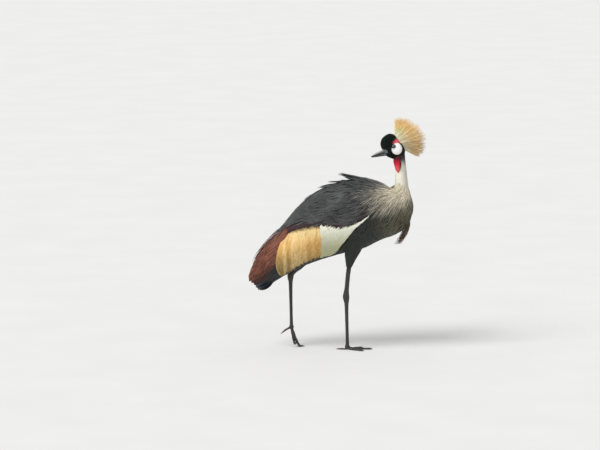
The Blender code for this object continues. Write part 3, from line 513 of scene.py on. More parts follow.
# Feathers of the body combed from a root line to a tip line, rows of share, along and around.
# Each covers reach of its line from start on. least, minus leastFall times the share, is the least start.
def combed(side, look, colour, **changes):
    look = {**look, **changes}
    count = look["count"]
    u = np.linspace(0, 1, count) if look.get("even") else drawn(look.get("shares", (0, 1)), count)
    start = np.maximum(drawn(look["start"], count), look.get("least", -1) - look.get("leastFall", 0) * u)
    reach = drawn(look["reach"], count)
    t = np.linspace(0, 1, look["points"])[None, :]
    s = start[:, None] + reach[:, None] * t
    lines = [np.interp(u, line[:, 0], line[:, k])[:, None]
             for line in (np.array(look["roots"], float), np.array(look["tips"], float)) for k in (1, 2)]
    arch = np.sin(np.pi * np.clip(s, 0, 1))
    a = mix(lines[0], lines[2], s) + look.get("bulge", 0.0) * arch * u[:, None]
    sway = look["stray"] * dice.normal(0, 1, (count, 1)) * t
    b = mix(lines[1], lines[3], s) + look.get("bow", 0.0) * arch + sway
    rootLift, tipLift, higher = look["lift"]
    height = mix(rootLift, tipLift, ease(t, 0.0, 0.6)) + dice.uniform(0, higher, (count, 1)) * t ** 2
    quill = on("body", a, b, height, side)
    tints = speckled(colour(quill, np.broadcast_to(t, quill.shape[:2])), look["spread"])
    return (quill, outward("body", a, b, side), look["width"] * dice.uniform(0.8, 1.2, count), tints,
            unwrapped("body", a[:, 0], b[:, 0], side))


# Solid pieces

def pick(*pieces):
    bpy.ops.object.select_all(action="DESELECT")
    for piece in pieces:
        piece.select_set(True)
    bpy.context.view_layer.objects.active = pieces[0]


# In background mode this operator turns the other way
def turnSelected(degrees, pivot):
    bpy.ops.transform.rotate(value=-math.radians(degrees), orient_axis="Z", center_override=pivot)


# Grown from a ring: extruded, leant and sized from section to section, then turned about a pivot
def growTube(name, rows, sides=24, turn=None):
    x, y, z, up, side, lean = rows[0]
    bpy.ops.object.select_all(action="DESELECT")
    bpy.ops.mesh.primitive_circle_add(vertices=sides, radius=1, fill_type="NGON",
                                      rotation=(0, math.pi / 2, 0))
    piece = bpy.context.object
    piece.name = name
    bpy.ops.object.transform_apply(location=True, rotation=True, scale=True)
    bpy.ops.object.mode_set(mode="EDIT")
    bpy.ops.transform.resize(value=(1, side, up), center_override=(0, 0, 0))
    bpy.ops.transform.rotate(value=-lean, orient_axis="Y", center_override=(0, 0, 0))
    bpy.ops.transform.translate(value=(x, y, z))
    for row in rows[1:]:
        centre = Vector(row[:3])
        bpy.ops.mesh.extrude_region_move(TRANSFORM_OT_translate={"value": centre - Vector((x, y, z))})
        bpy.ops.transform.rotate(value=lean, orient_axis="Y", center_override=centre)
        bpy.ops.transform.resize(value=(1, row[4] / side, row[3] / up), center_override=centre)
        bpy.ops.transform.rotate(value=-row[5], orient_axis="Y", center_override=centre)
        x, y, z, up, side, lean = row
    bpy.ops.mesh.select_all(action="SELECT")
    if turn:
        turnSelected(*turn)
    bpy.ops.mesh.normals_make_consistent(inside=False)
    bpy.ops.object.mode_set(mode="OBJECT")
    return piece


def joined(name, pieces):
    pick(*pieces)
    bpy.ops.object.join()
    made = bpy.context.object
    made.name = name
    return made


def applied(piece, kind, **values):
    pick(piece)
    step = piece.modifiers.new(kind.lower(), kind)
    for key, value in values.items():
        setattr(step, key, value)
    bpy.ops.object.modifier_apply(modifier=step.name)


# Moves a finished piece home and gives it its finish, its body and the nodes that it stands for
def settled(piece, material, slotName, *nodes, angle=180):
    piece.data.transform(Matrix.Translation(home))
    piece.data.materials.clear()
    piece.data.materials.append(material)
    piece.data.shade_smooth()
    if angle < 180:
        piece.data.set_sharp_from_angle(angle=math.radians(angle))
    bpy.ops.object.select_all(action="DESELECT")
    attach(piece, "root")
    if nodes:
        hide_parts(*nodes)
    print(piece.name, len(piece.data.polygons), "faces")


# colour is one colour, or a function of the points
def paintPoints(piece, colour):
    spots = np.zeros(len(piece.data.vertices) * 3)
    piece.data.vertices.foreach_get("co", spots)
    tint = np.ones((len(piece.data.vertices), 4), np.float32)
    tint[:, :3] = colour(spots.reshape(-1, 3)) if callable(colour) else colour
    piece.data.attributes.new("tint", "FLOAT_COLOR", "POINT").data.foreach_set("color", tint.ravel())


# The skin under the plumage, bare on the cheeks

skinLook = {
    "voxel": 0.0026, "smoothing": 5, "torsoDepth": (0.011, 0.016),
    "depths": {"neck": 0.0014, "head": 0.0030, "thigh_right": 0.004, "thigh_left": 0.004},
    "cheekAt": (0.2415, 0.0168, 0.8262), "cheekSize": (0.0200, 0.0098, 0.0238),
    # patches of the head's side: middle x, z and half sizes
    "white": (0.2392, 0.8288, 0.0228, 0.0250), "red": (0.2390, 0.8580, 0.0182, 0.0155),
    "billRoot": (0.1860, 0.8155, 0.0190, 0.0120),
}


# How far outside a patch a head point lies, from its x and z before the head's turn: below 1 is inside.
# The red patch is a triangle with round corners.
def patchReach(name, x, z):
    cx, cz, rx, rz = skinLook[name]
    if name == "red":
        narrowing = 1 - 0.45 * np.clip((z - cz) / rz, -1, 1)
        return np.hypot((x - cx - 0.10 * (z - cz)) / (rx * narrowing), (z - cz) / rz)
    return np.hypot((x - cx) / rx, (z - cz) / rz)


def skinTint(spots):
    x, y, z = moved(spots, headBack).T
    colour = blend(bodyShade(spots), neckTint(spots), ease(spots[:, 2], 0.665, 0.69) * (spots[:, 0] > 0.2))
    onHead = ease(z, 0.800, 0.806) * (x > 0.16)
    colour = blend(colour, "black", onHead)
    colour = blend(colour, "billRoot", onHead * (1 - ease(patchReach("billRoot", x, z), 0.75, 1.05)))
    outer = np.abs(y) > 0.011
    fromRed = patchReach("red", x, z)
    red = blend("cheekRedEdge", "cheekRed", ease(1 - fromRed, 0.05, 0.75))
    colour = np.where(((fromRed < 1.0) & outer)[:, None], red, colour)
    return blend(colour, "cheek", (1 - ease(patchReach("white", x, z), 0.92, 1.0)) * outer)


def bareSkin(tree, shader):
    coloured(tree, shader, patchy(tree, 0.93, 1.05, 260, 4))
    relief(tree, shader, noiseAt(tree, 900, 4), 0.25, 0.0005)


def shrunk(rows, depth, least):
    depths = np.broadcast_to(depth, len(rows))
    return [(x, y, z, max(up - less, least), max(side - less, least), lean)
            for (x, y, z, up, side, lean), less in zip(rows, depths)]


def buildSkin():
    torso = sections("body", 3)[2:31]
    depth = mix(*skinLook["torsoDepth"], ease(np.arange(len(torso)), 9, 14))
    pieces = [growTube("skin", shrunk(torso, depth, 0.003), 40)]
    for name, depth in skinLook["depths"].items():
        rows = shrunk(sections(name, 3), depth, 0.001)
        pieces.append(growTube(name + "Flesh", rows, 32, headTurn if name == "head" else None))
    x, y, z = skinLook["cheekAt"]
    for side in (-1, 1):
        bpy.ops.object.select_all(action="DESELECT")
        bpy.ops.mesh.primitive_uv_sphere_add(segments=32, ring_count=20, radius=1)
        pieces.append(bpy.context.object)
        bpy.ops.object.mode_set(mode="EDIT")
        bpy.ops.transform.resize(value=skinLook["cheekSize"], center_override=(0, 0, 0))
        bpy.ops.transform.translate(value=(x, side * y, z))
        turnSelected(*headTurn)
        bpy.ops.object.mode_set(mode="OBJECT")
    skin = joined("skin", pieces)
    applied(skin, "REMESH", mode="VOXEL", voxel_size=skinLook["voxel"])
    applied(skin, "SMOOTH", factor=0.5, iterations=skinLook["smoothing"])
    paintPoints(skin, skinTint)
    material = makeMaterial("bareSkin", (0.5, 0.5, 0.5), 0.55, bareSkin, Subsurface_Weight=0.08,
                            Subsurface_Scale=0.004)
    settled(skin, material, "black_velvet", "torso", "neck", "head", "thigh_right", "thigh_left")


buildSkin()
print("skin done")

# Head: black velvet tufts, standing densest on the forehead cushion

velvetLook = {"shape": "tuft", "slim": True, "thick": 0.0004, "roll": 0.3, "points": 3, "sway": 14,
              "spread": 0.3, "rows": (0.15, 8.9), "spacing": 0.00125, "length": 0.0056, "width": 0.0013,
              "finish": "velvet", "slot": "black_velvet",
              "raised": (-0.0028, 0.0010, 0.0012), "flat": (-0.0028, -0.0006, 0.0004)}


def headPlaces(along, around):
    rows = between(np.array(birdForm["head"]), along)
    middle, half = (rows[:, 1] + rows[:, 2]) / 2, (rows[:, 1] - rows[:, 2]) / 2
    return rows[:, 0], middle + half * np.sin(np.radians(around))


def feathered(along, around):
    x, z = headPlaces(np.clip(along, 0, 9), around)
    bare = ((patchReach("white", x, z) < 0.98) | (patchReach("red", x, z) < 0.95)
            | (patchReach("billRoot", x, z) < 0.92))
    return ~bare & (np.hypot(x - eye["x"], z - eye["z"]) > eye["bareRing"])


def velvetTint(places, share):
    x, z = places[..., 0], places[..., 2]
    # painted sheen: green on the upper part of the crown
    green = blend("black", "velvetSheenGreen", 0.6 * ease(z, 0.840, 0.868))
    return blend(green, "smoke", ease(x, 0.262, 0.276) * (1 - ease(z, 0.805, 0.835)))


def headTufts():
    lots = []
    for side in (-1, 1):
        along, around = rowsOver("head", velvetLook)
        keep = feathered(along, around)
        along, around = along[keep], around[keep]
        x, z = headPlaces(along, around)
        cushion = ease(z, 0.845, 0.870) * (1 - ease(x, 0.232, 0.252))
        for lift, chosen in (("raised", cushion > 0.5), ("flat", cushion <= 0.5)):
            lots.append(laid("head", side, along[chosen], around[chosen],
                             {**velvetLook, "lift": velvetLook[lift]}, velvetTint, 178.0, within=feathered))
    featherMesh("head_velvet", velvetLook, lots)


headTufts()

# Neck: short narrow feathers, pale grey

neckLook = {"shape": "lance", "slim": True, "thick": 0.0002, "roll": 0.03, "cup": 0.02, "points": 4,
            "sway": 5, "spread": 0.05, "rows": (1.6, 7.35), "spacing": 0.0028, "length": 0.0190,
            "width": 0.0044, "lift": (-0.0010, 0.0002, 0.0002), "finish": "neck", "slot": "neck_grey"}


def neckFeathers():
    featherMesh("neck_feathers", neckLook, [
        laid("neck", side, *rowsOver("neck", neckLook), neckLook, neckTint, 180.0)
        for side in (-1, 1)])


neckFeathers()

# Breast, belly and flank

contourLook = {"shape": "lance", "roll": 0.10, "ragged": 0.08, "points": 5, "sway": 6, "spread": 0.14,
               "rows": (1.25, 10.8), "spacing": 0.0072, "length": 0.044, "width": 0.0100,
               "lift": (-0.010, -0.0010, 0.0016), "fall": -34, "finish": "slate", "slot": "slate"}


def wingEdge(along):
    return np.interp(along,
                     [3.2, 4.0, 4.57, 4.9, 5.39, 5.68, 5.9, 6.07, 6.31, 6.66, 7.4, 8.35, 9.0, 9.6, 10.4],
                     [16, 4, 0, -6.5, -19, -26, -34, -44, -58, -62, -58, -60, -61, -66, -65])


def contourTop(at):
    return np.interp(at, [3.2, 4.2], [90, 8]) if at < 4.2 else wingEdge(at) + 5


def belowWing(along, around):
    return (around < wingEdge(along) + 2.5) | (along < 4.1)


# They begin beside the hackles, which cover the middle of the breast
def contourFeathers():
    lots = []
    for side in (-1, 1):
        along, around = rowsOver("body", contourLook, high=contourTop)
        heading = contourLook["fall"] * np.cos(np.radians(around)) * (1 - ease(along, 4.0, 8.0))
        grown = ease(along, 0.3, 4.0)
        lots.append(laid("body", side, along, around, contourLook, bodyShade, heading, 0.75 + 0.45 * grown,
                         0.8 + 0.3 * grown, belowWing))
    featherMesh("contour_feathers", contourLook, lots)


contourFeathers()
print("breast and flank done")

# Hackles: long narrow plumes from the foot of the neck over shoulders and breast. Their share runs
# from 0 at the nape to 1 at the throat.

hackleLook = {
    "shape": "lance", "roll": 0.15, "ragged": 0.06, "perSide": 1350, "width": 0.0041, "points": 7,
    "finish": "pale", "slot": "neck_grey", "headings": (178, 4),
    "napeHeights": (0.618, 0.652), "throatHeights": (0.648, 0.705),     # of the roots
    # where the lines end on the body, by share: along and around
    "ends": ([0, 0.35, 0.6, 0.8, 1], [5.8, 5.9, 4.7, 3.2, 2.2], [80, 34, -2, -26, -86]),
    "fades": ([0, 0.2, 0.35, 0.7, 0.85, 1.0], [1.35, 1.10, 0.76, 0.76, 1.55, 1.75]),
    "lastStart": 0.55, "reach": (0.36, 0.60), "far": (0.82, 1.1),
    "standOff": (0.008, 0.022), "rise": (-0.012, 0.02), "breastBulge": 0.048,
    "rootHeight": -0.003, "layers": (0.0058, 0.0020), "overWing": 0.005, "overBreast": 0.0022, "loose": 0.003,
}


# Body and neck in one closed net, for the hackles to lie on
def shoulderGuide():
    corners, quads = [], []
    steps, turns = 60, 64
    for name, first, last in (("body", 0.0, 8.0), ("neck", 0.0, 7.5)):
        along, turn = np.meshgrid(np.linspace(first, last, steps), np.arange(turns) * 360 / turns - 90,
                                  indexing="ij")
        base = len(corners)
        corners += on(name, along, turn).reshape(-1, 3).tolist()
        quads += [(base + r * turns + c, base + r * turns + (c + 1) % turns,
                   base + (r + 1) * turns + (c + 1) % turns, base + (r + 1) * turns + c)
                  for r in range(steps - 1) for c in range(turns)]
    return BVHTree.FromPolygons(corners, quads)


# The pale grey reaches far over the shoulder, and not far down the breast
def hackleTint(places, share, fading):
    away = np.linalg.norm((places - neckFoot) * (1, 0.8, 1), axis=-1)
    away = away * dice.uniform(0.70, 1.25, (len(places), 1)) * fading
    rearward = ease(0.262 - places[..., 0], 0.0, 0.10)
    colour = blend("hackle", "hackleGrey", ease(away, 0.035, 0.105))
    colour = blend(colour, blend("breast", "slateEdge", rearward), ease(away, 0.085, 0.150))
    colour = blend(colour, blend("breast", "slate", rearward), 0.9 * ease(away, 0.13, 0.20))
    return colour * (1.12 - 0.24 * share[..., None])


# Roots on the neck, and the way out of it there
def hackleRoots(t, side):
    turn = np.radians(mix(*hackleLook["headings"], t))
    out = np.stack([np.cos(turn), side * np.sin(turn), 0 * turn], axis=1)
    low, high = (mix(hackleLook["napeHeights"][k], hackleLook["throatHeights"][k], ease(t, 0.25, 0.6))
                 for k in (0, 1))
    height = mix(low, high, dice.uniform(0, 1, len(t)))
    ring = between(neckRows, np.interp(height, neckRows[:, 1], range(len(neckRows))))
    return np.stack([ring[:, 0] + out[:, 0] * ring[:, 2], out[:, 1] * ring[:, 3], height], axis=1), out


# Points laid on the guide, and its way out at each
def draped(guide, points):
    quill, normal = np.zeros_like(points), np.zeros_like(points)
    for k, point in enumerate(points.reshape(-1, 3)):
        spot, way, _, _ = guide.find_nearest(Vector(point))
        inward = way.dot(Vector(point) - Vector((0.15, 0, 0.57))) < 0
        quill.reshape(-1, 3)[k] = spot
        normal.reshape(-1, 3)[k] = -way if inward else way
    return quill, normal


def hacklesOf(side, guide):
    count = hackleLook["perSide"]
    t = (np.arange(count) * 0.61803) % 1.0
    start = hackleLook["lastStart"] * (np.arange(count) / count) ** 0.8
    reach = dice.uniform(*hackleLook["reach"], count) * (1 - 0.25 * start)
    root, out = hackleRoots(t, side)
    far = dice.uniform(*hackleLook["far"], count)
    marks, endAlong, endAround = hackleLook["ends"]
    along = 1.6 + (np.interp(t, marks, endAlong) - 1.6) * far
    around = np.interp(t, marks, endAround) + dice.normal(0, 3, count)
    end = on("body", along, around, 0.003, side)
    share = np.linspace(0, 1, hackleLook["points"])[None, :]
    s = start[:, None] + reach[:, None] * share
    arch = np.sin(np.pi * s)
    standing = mix(*hackleLook["standOff"], ease(t, 0.1, 0.4))[:, None] * (1 - s)
    flat = mix(root[:, None, :], end[:, None, :], s[..., None]) + out[:, None, :] * standing[..., None]
    flat[..., 2] += mix(*hackleLook["rise"], ease(t, 0.05, 0.4))[:, None] * arch
    flat[..., 0] += hackleLook["breastBulge"] * ease(t, 0.78, 0.94)[:, None] * arch
    quill, normal = draped(guide, flat)

    overWing = hackleLook["overWing"] * ease(s, 0.4, 0.9) * (1 - ease(t, 0.5, 0.72))[:, None]
    overBreast = hackleLook["overBreast"] * ease(t, 0.84, 0.95)[:, None] * ease(s, 0.25, 0.5)
    layer = mix(0.3, 1.0, dice.uniform(0, 1, count))
    layer = layer * mix(*hackleLook["layers"], start / hackleLook["lastStart"])
    layer = (layer * mix(1, 0.4, ease(t, 0.7, 0.9)))[:, None]
    height = mix(hackleLook["rootHeight"], layer, ease(share, 0, 0.4)) + overWing + overBreast
    height = height + dice.uniform(0, hackleLook["loose"], (count, 1)) * share ** 2
    quill = quill + normal * height[..., None]
    soft = 0.5 * ease(t, 0.12, 0.35)[:, None, None]     # the nape's lie in its hollow
    quill[:, 1:-1] = mix(quill[:, 1:-1], (quill[:, :-2] + quill[:, 2:]) / 2, soft)

    fades = np.interp(t, *hackleLook["fades"])[:, None]
    tints = hackleTint(quill, np.broadcast_to(share, quill.shape[:2]), fades)
    tints = tints * (1 + mix(0.34, 0.12, ease(t, 0.5, 0.8)) * dice.uniform(-1, 1, count))[:, None, None]
    places = np.stack([0.5 + side * (0.05 + 0.4 * t), 0.1 + 0.8 * start], axis=1)
    return quill, normal, hackleLook["width"] * dice.uniform(0.75, 1.2, count), tints, places


def hackleFeathers():
    guide = shoulderGuide()
    featherMesh("hackles", hackleLook, [hacklesOf(side, guide) for side in (-1, 1)])


hackleFeathers()

# Back and shoulders: long lance-shaped slate feathers, some of them ruffled

scapularLook = {"shape": "lance", "roll": 0.14, "ragged": 0.06, "points": 7, "sway": 4, "spread": 0.30,
                "rows": (3.3, 10.6), "spacing": 0.0088, "length": 0.104, "width": 0.0092,
                "lift": (-0.011, 0.0024, 0.0030), "finish": "slate", "slot": "slate"}
looseLook = {"shape": "lance", "roll": 0.35, "ragged": 0.08, "width": 0.0105, "points": 8, "finish": "slate",
             "slot": "slate",
             # root along, around, tip along, around, tip height, feathers
             "groups": ((4.1, 80, 6.35, 88, 0.046, 12), (4.0, 70, 6.15, 85, 0.033, 12),
                        (4.3, 76, 5.85, 82, 0.026, 12), (4.6, 62, 6.3, 74, 0.017, 12),
                        (5.0, 84, 7.0, 87, 0.022, 9), (5.6, 76, 7.5, 84, 0.019, 10),
                        (5.3, 56, 7.2, 66, 0.011, 10), (6.6, 78, 8.4, 84, 0.011, 8))}


def panelTop(along):
    return np.interp(along, [3.6, 4.1, 4.7, 5.4, 5.9, 6.5, 7.1, 7.9, 8.4, 9.05, 9.6, 9.9, 10.15],
                     [9, 4, 1.5, -5, -7, -2.5, 3, 13, 21, 31, 43, 60, 92])


# The lower end of the scapulars' tips, a little over the panel's top behind the white's narrow front end
def tipEdge(along):
    return panelTop(along) + np.interp(along, [5.1, 6.0, 6.6], [2.5, -2.5, -5.5])


def slateTint(places, share):
    x, z = places[..., 0], places[..., 2]
    colour = blend("slateDark", "slate", ease(share, 0.05, 0.4))
    colour = blend(colour, "slateEdge", 0.40 * ease(share, 0.35, 1.0))
    lie = z - 0.75 * x
    fold = np.sin(46 * lie + 9 * x) * np.sin(17 * lie - 14 * x + 1.3)     # soft shadows between groups
    front = ease(x, 0.05, 0.17)[..., None]
    return colour * (0.95 + 0.38 * fold[..., None]) * (1 + 0.25 * front)


# The feathers follow the wing's upper edge low on the side, and the spine above
def scapulars(side):
    along, around = rowsOver("body", scapularLook, lambda at: tipEdge(at + 0.9) - 1.5)
    slope = panelTop(along + 1.4) - panelTop(along + 0.4)
    onSide = np.clip(1 - (around - panelTop(along + 0.9)) / 60, 0, 1)
    heading = np.degrees(np.arctan(np.clip(slope, -8, 18) * 0.030)) * onSide
    longer = 0.85 + 0.35 * ease(along, 5, 9)
    return laid("body", side, along, around, scapularLook, slateTint, heading, longer,
                within=lambda a, b: b > tipEdge(a))


def looseScapulars(side):
    lots = []
    t = np.linspace(0, 1, looseLook["points"])[None, :]
    for rootA, rootB, tipA, tipB, rise, count in looseLook["groups"]:
        stray = dice.normal(0, 1, (5, count, 1))
        start = mix(0, 0.35, dice.uniform(0, 1, (count, 1)) ** 1.5)
        s = start + (1 - start) * t * (1 - 0.10 * np.abs(stray[4]))
        a = mix(rootA + 0.22 * stray[0], tipA + 0.05 * stray[1], s)
        b = mix(rootB + 6 * stray[2], tipB + 1.6 * stray[3], s)
        height = mix(-0.004, rise * (1 - 0.12 * np.abs(stray[1])), s ** 1.7) - 0.006 * (t < 0.01)
        quill = on("body", a, b, height, side)
        tints = speckled(slateTint(quill, np.broadcast_to(t, s.shape)) * 0.7, 0.35)
        width = looseLook["width"] * dice.uniform(0.7, 1.2, count)
        places = unwrapped("body", a[:, 0], b[:, 0], side)
        lots.append((quill, outward("body", a, b, side), width, tints, places))
    return lots


for side, which in ((-1, "right"), (1, "left")):
    featherMesh("scapulars_" + which, scapularLook, [scapulars(side)], "wing_" + which)
    featherMesh("loose_scapulars_" + which, looseLook, looseScapulars(side))
print("back done")

# Folded wing: white coverts, a dark line over them, gold plumes, chestnut secondaries

whiteLook = {
    "shape": "covert", "roll": 0.03, "ragged": 0.02, "count": 640, "width": 0.0130, "points": 6, "bow": 12,
    "stray": 1.0, "spread": 0.04, "lift": (-0.009, 0.0012, 0.0009), "finish": "white", "slot": "wing_mix",
    "shares": (0.03, 1), "start": (-0.08, 0.76), "least": 0.17, "leastFall": 0.55, "reach": (0.22, 0.36),
    "roots": [(0, 4.4, 5), (0.25, 5.2, -5), (0.45, 5.8, -7), (0.65, 6.3, -4), (0.8, 6.8, 1.5), (1, 7.4, 9)],
    "tips": [(0, 6.60, -60), (0.4, 6.85, -62), (0.7, 7.10, -61), (1, 7.42, -58)]}
spikeLook = {       # the white's narrow front end, along the wing's front edge
    "count": 36, "width": 0.0046, "points": 6, "bow": 0.7, "stray": 0.3, "spread": 0.04,
    "lift": (-0.001, 0.0022, 0.0004), "start": (0, 0.6), "reach": 0.4,
    "roots": [(0, 4.46, 0.8), (1, 4.52, 0.2)], "tips": [(0, 5.70, -15.5), (1, 5.62, -18.5)]}
lineLook = {
    "shape": "covert", "roll": 0.12, "ragged": 0.08, "count": 250, "width": 0.0085, "points": 5, "stray": 1.2,
    "spread": 0.3, "lift": (-0.006, 0.0014, 0.0005), "finish": "chestnut", "slot": "wing_mix",
    "start": (-0.1, 0.08), "reach": 0.92,
    "roots": [(0, 4.3, 9), (0.15, 4.85, 3), (0.3, 5.35, -1), (0.42, 5.85, 0), (0.55, 6.35, 6),
              (0.7, 7.05, 14), (0.82, 7.9, 24), (0.92, 8.6, 36), (1, 9.2, 48)],
    "tips": [(0, 4.9, -2.5), (0.15, 5.4, -9.5), (0.3, 5.9, -11.5), (0.42, 6.4, -9.5), (0.55, 6.9, -3),
             (0.7, 7.6, 6), (0.82, 8.43, 16), (0.92, 9.1, 27), (1, 9.75, 42)]}
goldLook = {
    "shape": "plume", "slim": True, "thick": 0.0006, "roll": 0.2, "count": 1700, "width": 0.0062, "points": 7,
    "bow": 3, "bulge": 0.52, "stray": 1.4, "spread": 0.07, "lift": (-0.011, 0.0008, 0.0026), "finish": "gold",
    "slot": "wing_mix", "start": (0, 0.52), "reach": (0.40, 0.52),
    "roots": [(0, 7.35, 8), (0.2, 7.91, 14), (0.4, 8.43, 20), (0.6, 8.92, 28), (0.8, 9.43, 38),
              (1, 9.86, 46)],
    "tips": [(0, 7.42, -58), (0.33, 8.35, -60), (0.55, 8.98, -61), (0.8, 9.61, -66), (1, 10.26, -66)]}
chestnutLook = {
    "shape": "flight", "roll": 0.14, "ragged": 0.04, "cup": 0.2, "count": 46, "width": 0.0300, "points": 9,
    "bow": 2, "bulge": 0.2, "stray": 2.0, "spread": 0.2, "lift": (-0.016, -0.0055, 0.0050), "even": True,
    "finish": "chestnut", "slot": "wing_mix", "start": (0, 0.25), "reach": (0.62, 0.78),
    "roots": [(0, 9.2, 70), (0.5, 9.4, 34), (1, 9.3, -10)],
    "tips": [(0, 12.6, 70), (0.5, 13.8, 34), (1, 13.2, -32)]}
strandLook = {
    "shape": "plume", "slim": True, "thick": 0.0006, "roll": 0.6, "count": 420, "width": 0.0044, "points": 6,
    "bow": 2, "bulge": 0.2, "stray": 2.0, "spread": 0.26, "lift": (-0.010, -0.0030, 0.0060),
    "finish": "chestnut", "slot": "wing_mix", "start": (0, 0.5), "reach": (0.35, 0.52),
    "roots": chestnutLook["roots"], "tips": chestnutLook["tips"]}
rimLook = {
    "width": 0.0044, "points": 6, "bow": 4, "stray": 0.6, "spread": 0.15, "start": (0, 0.55), "reach": 0.42,
    # shade, around, height, feathers
    "lines": (("wingRim", 85, 0.0082, 24), ("umber", 76, 0.0026, 10))}


# Painted shade darkens the white low down, its olive tint a painted reflection of grass
def whiteTint(places, share):
    return blend("white", "whiteInPaintedShade", 0.85 * ease(0.56 - places[..., 2], 0.0, 0.15))


def lineTint(places, share):
    return blend("umber", "maroon", 0.8 * share)


# Cream above and in front, orange gold on the side, olive below with painted shade, with long soft streaks
def goldTint(places, share):
    x, z = places[..., 0], places[..., 2]
    colour = blend("gold", "goldInPaintedShade", 0.95 * ease(0.46 - z, 0.0, 0.13))
    rear = ease(-0.085 - x - 0.30 * (z - 0.45), 0.0, 0.10)
    streak = np.sin(95 * (x + 0.10 * z) + 2.2 * np.sin(60 * x))
    pale = np.clip(0.45 + 0.35 * streak + 0.30 * dice.uniform(-1, 1, (len(places), 1)), 0, 1) ** 1.3
    colour = blend(colour, "peach", np.clip(mix(0.45, 0.70, rear) * pale, 0, 1))
    return blend(colour, "cream", np.clip(0.70 * ease(z, 0.44, 0.51) + 0.2 * (pale - 0.5), 0, 1))


# Brown red with paler fringes, nearly black at the tips, and painted shadow low behind the gold
def chestnutTint(places, share):
    fringe = 0.55 * ease(share, 0.1, 0.7) * dice.uniform(0, 1, (len(places), 1))
    colour = blend("chestnut", "chestnutEdge", fringe)
    # painted shadow: near black low behind the gold
    low = ease(0.41 - places[..., 2] + 0.9 * (places[..., 0] + 0.24), 0.0, 0.06)
    return blend(blend(colour, "umber", 0.85 * low), "maroon", 0.6 * ease(share, 0.85, 1.0))


# The wing's upper edge: a pale rim over a nearly black line
def wingRims(side):
    lots = []
    for shade, around, height, count in rimLook["lines"]:
        lots.append(combed(side, rimLook, lambda places, share: blend("chestnut", shade, ease(share, 0, 0.3)),
                           count=count, lift=(-0.009, height, 0.0006),
                           roots=[(0, 9.5, around - 16), (1, 9.7, around - 12)],
                           tips=[(0, 12.4, around), (1, 12.7, around - 2)]))
    return lots


def wingFeathers(side, which):
    white = [combed(side, whiteLook, whiteTint), combed(side, spikeLook, whiteTint)]
    featherMesh("white_coverts_" + which, whiteLook, white)
    featherMesh("dark_coverts_" + which, lineLook, [combed(side, lineLook, lineTint)])
    featherMesh("gold_plumes_" + which, goldLook, [combed(side, goldLook, goldTint)])
    featherMesh("secondaries_" + which, chestnutLook, [combed(side, chestnutLook, chestnutTint)])
    fringes = [combed(side, strandLook, chestnutTint)] + wingRims(side)
    featherMesh("secondary_fringes_" + which, strandLook, fringes)


wingFeathers(-1, "right")
wingFeathers(1, "left")
print("wings done")

# Tail: broad blue-black feathers with short coverts under their roots

tailLook = {"shape": "flight", "roll": 0.10, "ragged": 0.03, "cup": 0.10, "width": 0.040, "points": 12,
            "stray": 0.6, "spread": 0.15, "finish": "tail", "slot": "tail_black",
            "count": 1, "shares": 0.5, "start": 0, "reach": 1, "rootAt": 9.9, "rootLift": -0.034,
            # around, along at the tip, height at the tip
            "fan": [(52, 12.5, -0.0190), (20, 12.9, -0.0170), (-12, 13.1, -0.0140), (-34, 13.2, -0.0100),
                    (-52, 13.2, -0.0040), (-68, 13.1, 0.0010), (-80, 12.9, 0.0040), (-89, 12.6, 0.0055)]}
tailCovertLook = {"shape": "covert", "roll": 0.15, "ragged": 0.08, "width": 0.014, "points": 6, "stray": 3.0,
                  "spread": 0.25, "lift": (-0.018, -0.0050, 0.004), "finish": "tail", "slot": "tail_black",
                  "count": 190, "start": (0, 0.55), "reach": (0.3, 0.42),
                  "roots": [(0, 9.4, -8), (0.35, 9.3, -45), (1, 8.8, -90)],
                  "tips": [(0, 12.5, -30), (0.35, 12.5, -55), (1, 12.1, -90)]}


def tailTint(places, share):
    return blend("tail", "tailEdge", 0.6 * ease(share, 0.5, 1.0))


def rumpTint(places, share):
    return blend("rump", "tail", share)


def tailFeathers():
    lots, coverts = [], []
    for side in (-1, 1):
        for around, end, height in tailLook["fan"]:
            lots.append(combed(side, tailLook, tailTint, lift=(tailLook["rootLift"], height, 0.001),
                               roots=[(0, tailLook["rootAt"], around)], tips=[(0, end, around)]))
        coverts.append(combed(side, tailCovertLook, rumpTint))
    featherMesh("tail_feathers", tailLook, lots, "tail")
    featherMesh("tail_coverts", tailCovertLook, coverts)


tailFeathers()

# Thighs

thighLook = {"shape": "lance", "roll": 0.12, "ragged": 0.08, "points": 4, "sway": 7, "spread": 0.18,
             "rows": (-0.8, 3.6), "spacing": 0.0050, "length": 0.024, "width": 0.0070,
             "lift": (-0.0036, 0.0, 0.0012), "finish": "slate", "slot": "slate"}


def thighTint(places, share):
    return blend("flank", "slate", 0.15 * share) * 0.8


for name in ("thigh_right", "thigh_left"):
    featherMesh(name + "_feathers", thighLook, [
        laid(name, side, *rowsOver(name, thighLook), thighLook, thighTint)
        for side in (-1, 1)])

# The loose tuft below the breast

tuftLook = {"shape": "plume", "slim": True, "thick": 0.0005, "roll": 0.8, "count": 210, "width": 0.0026,
            "points": 7, "finish": "pale", "slot": "slate", "facing": (1.0, 0.0, -0.2),
            "line": [(0.286, 0.553), (0.289, 0.520), (0.278, 0.487), (0.262, 0.457), (0.246, 0.434)]}


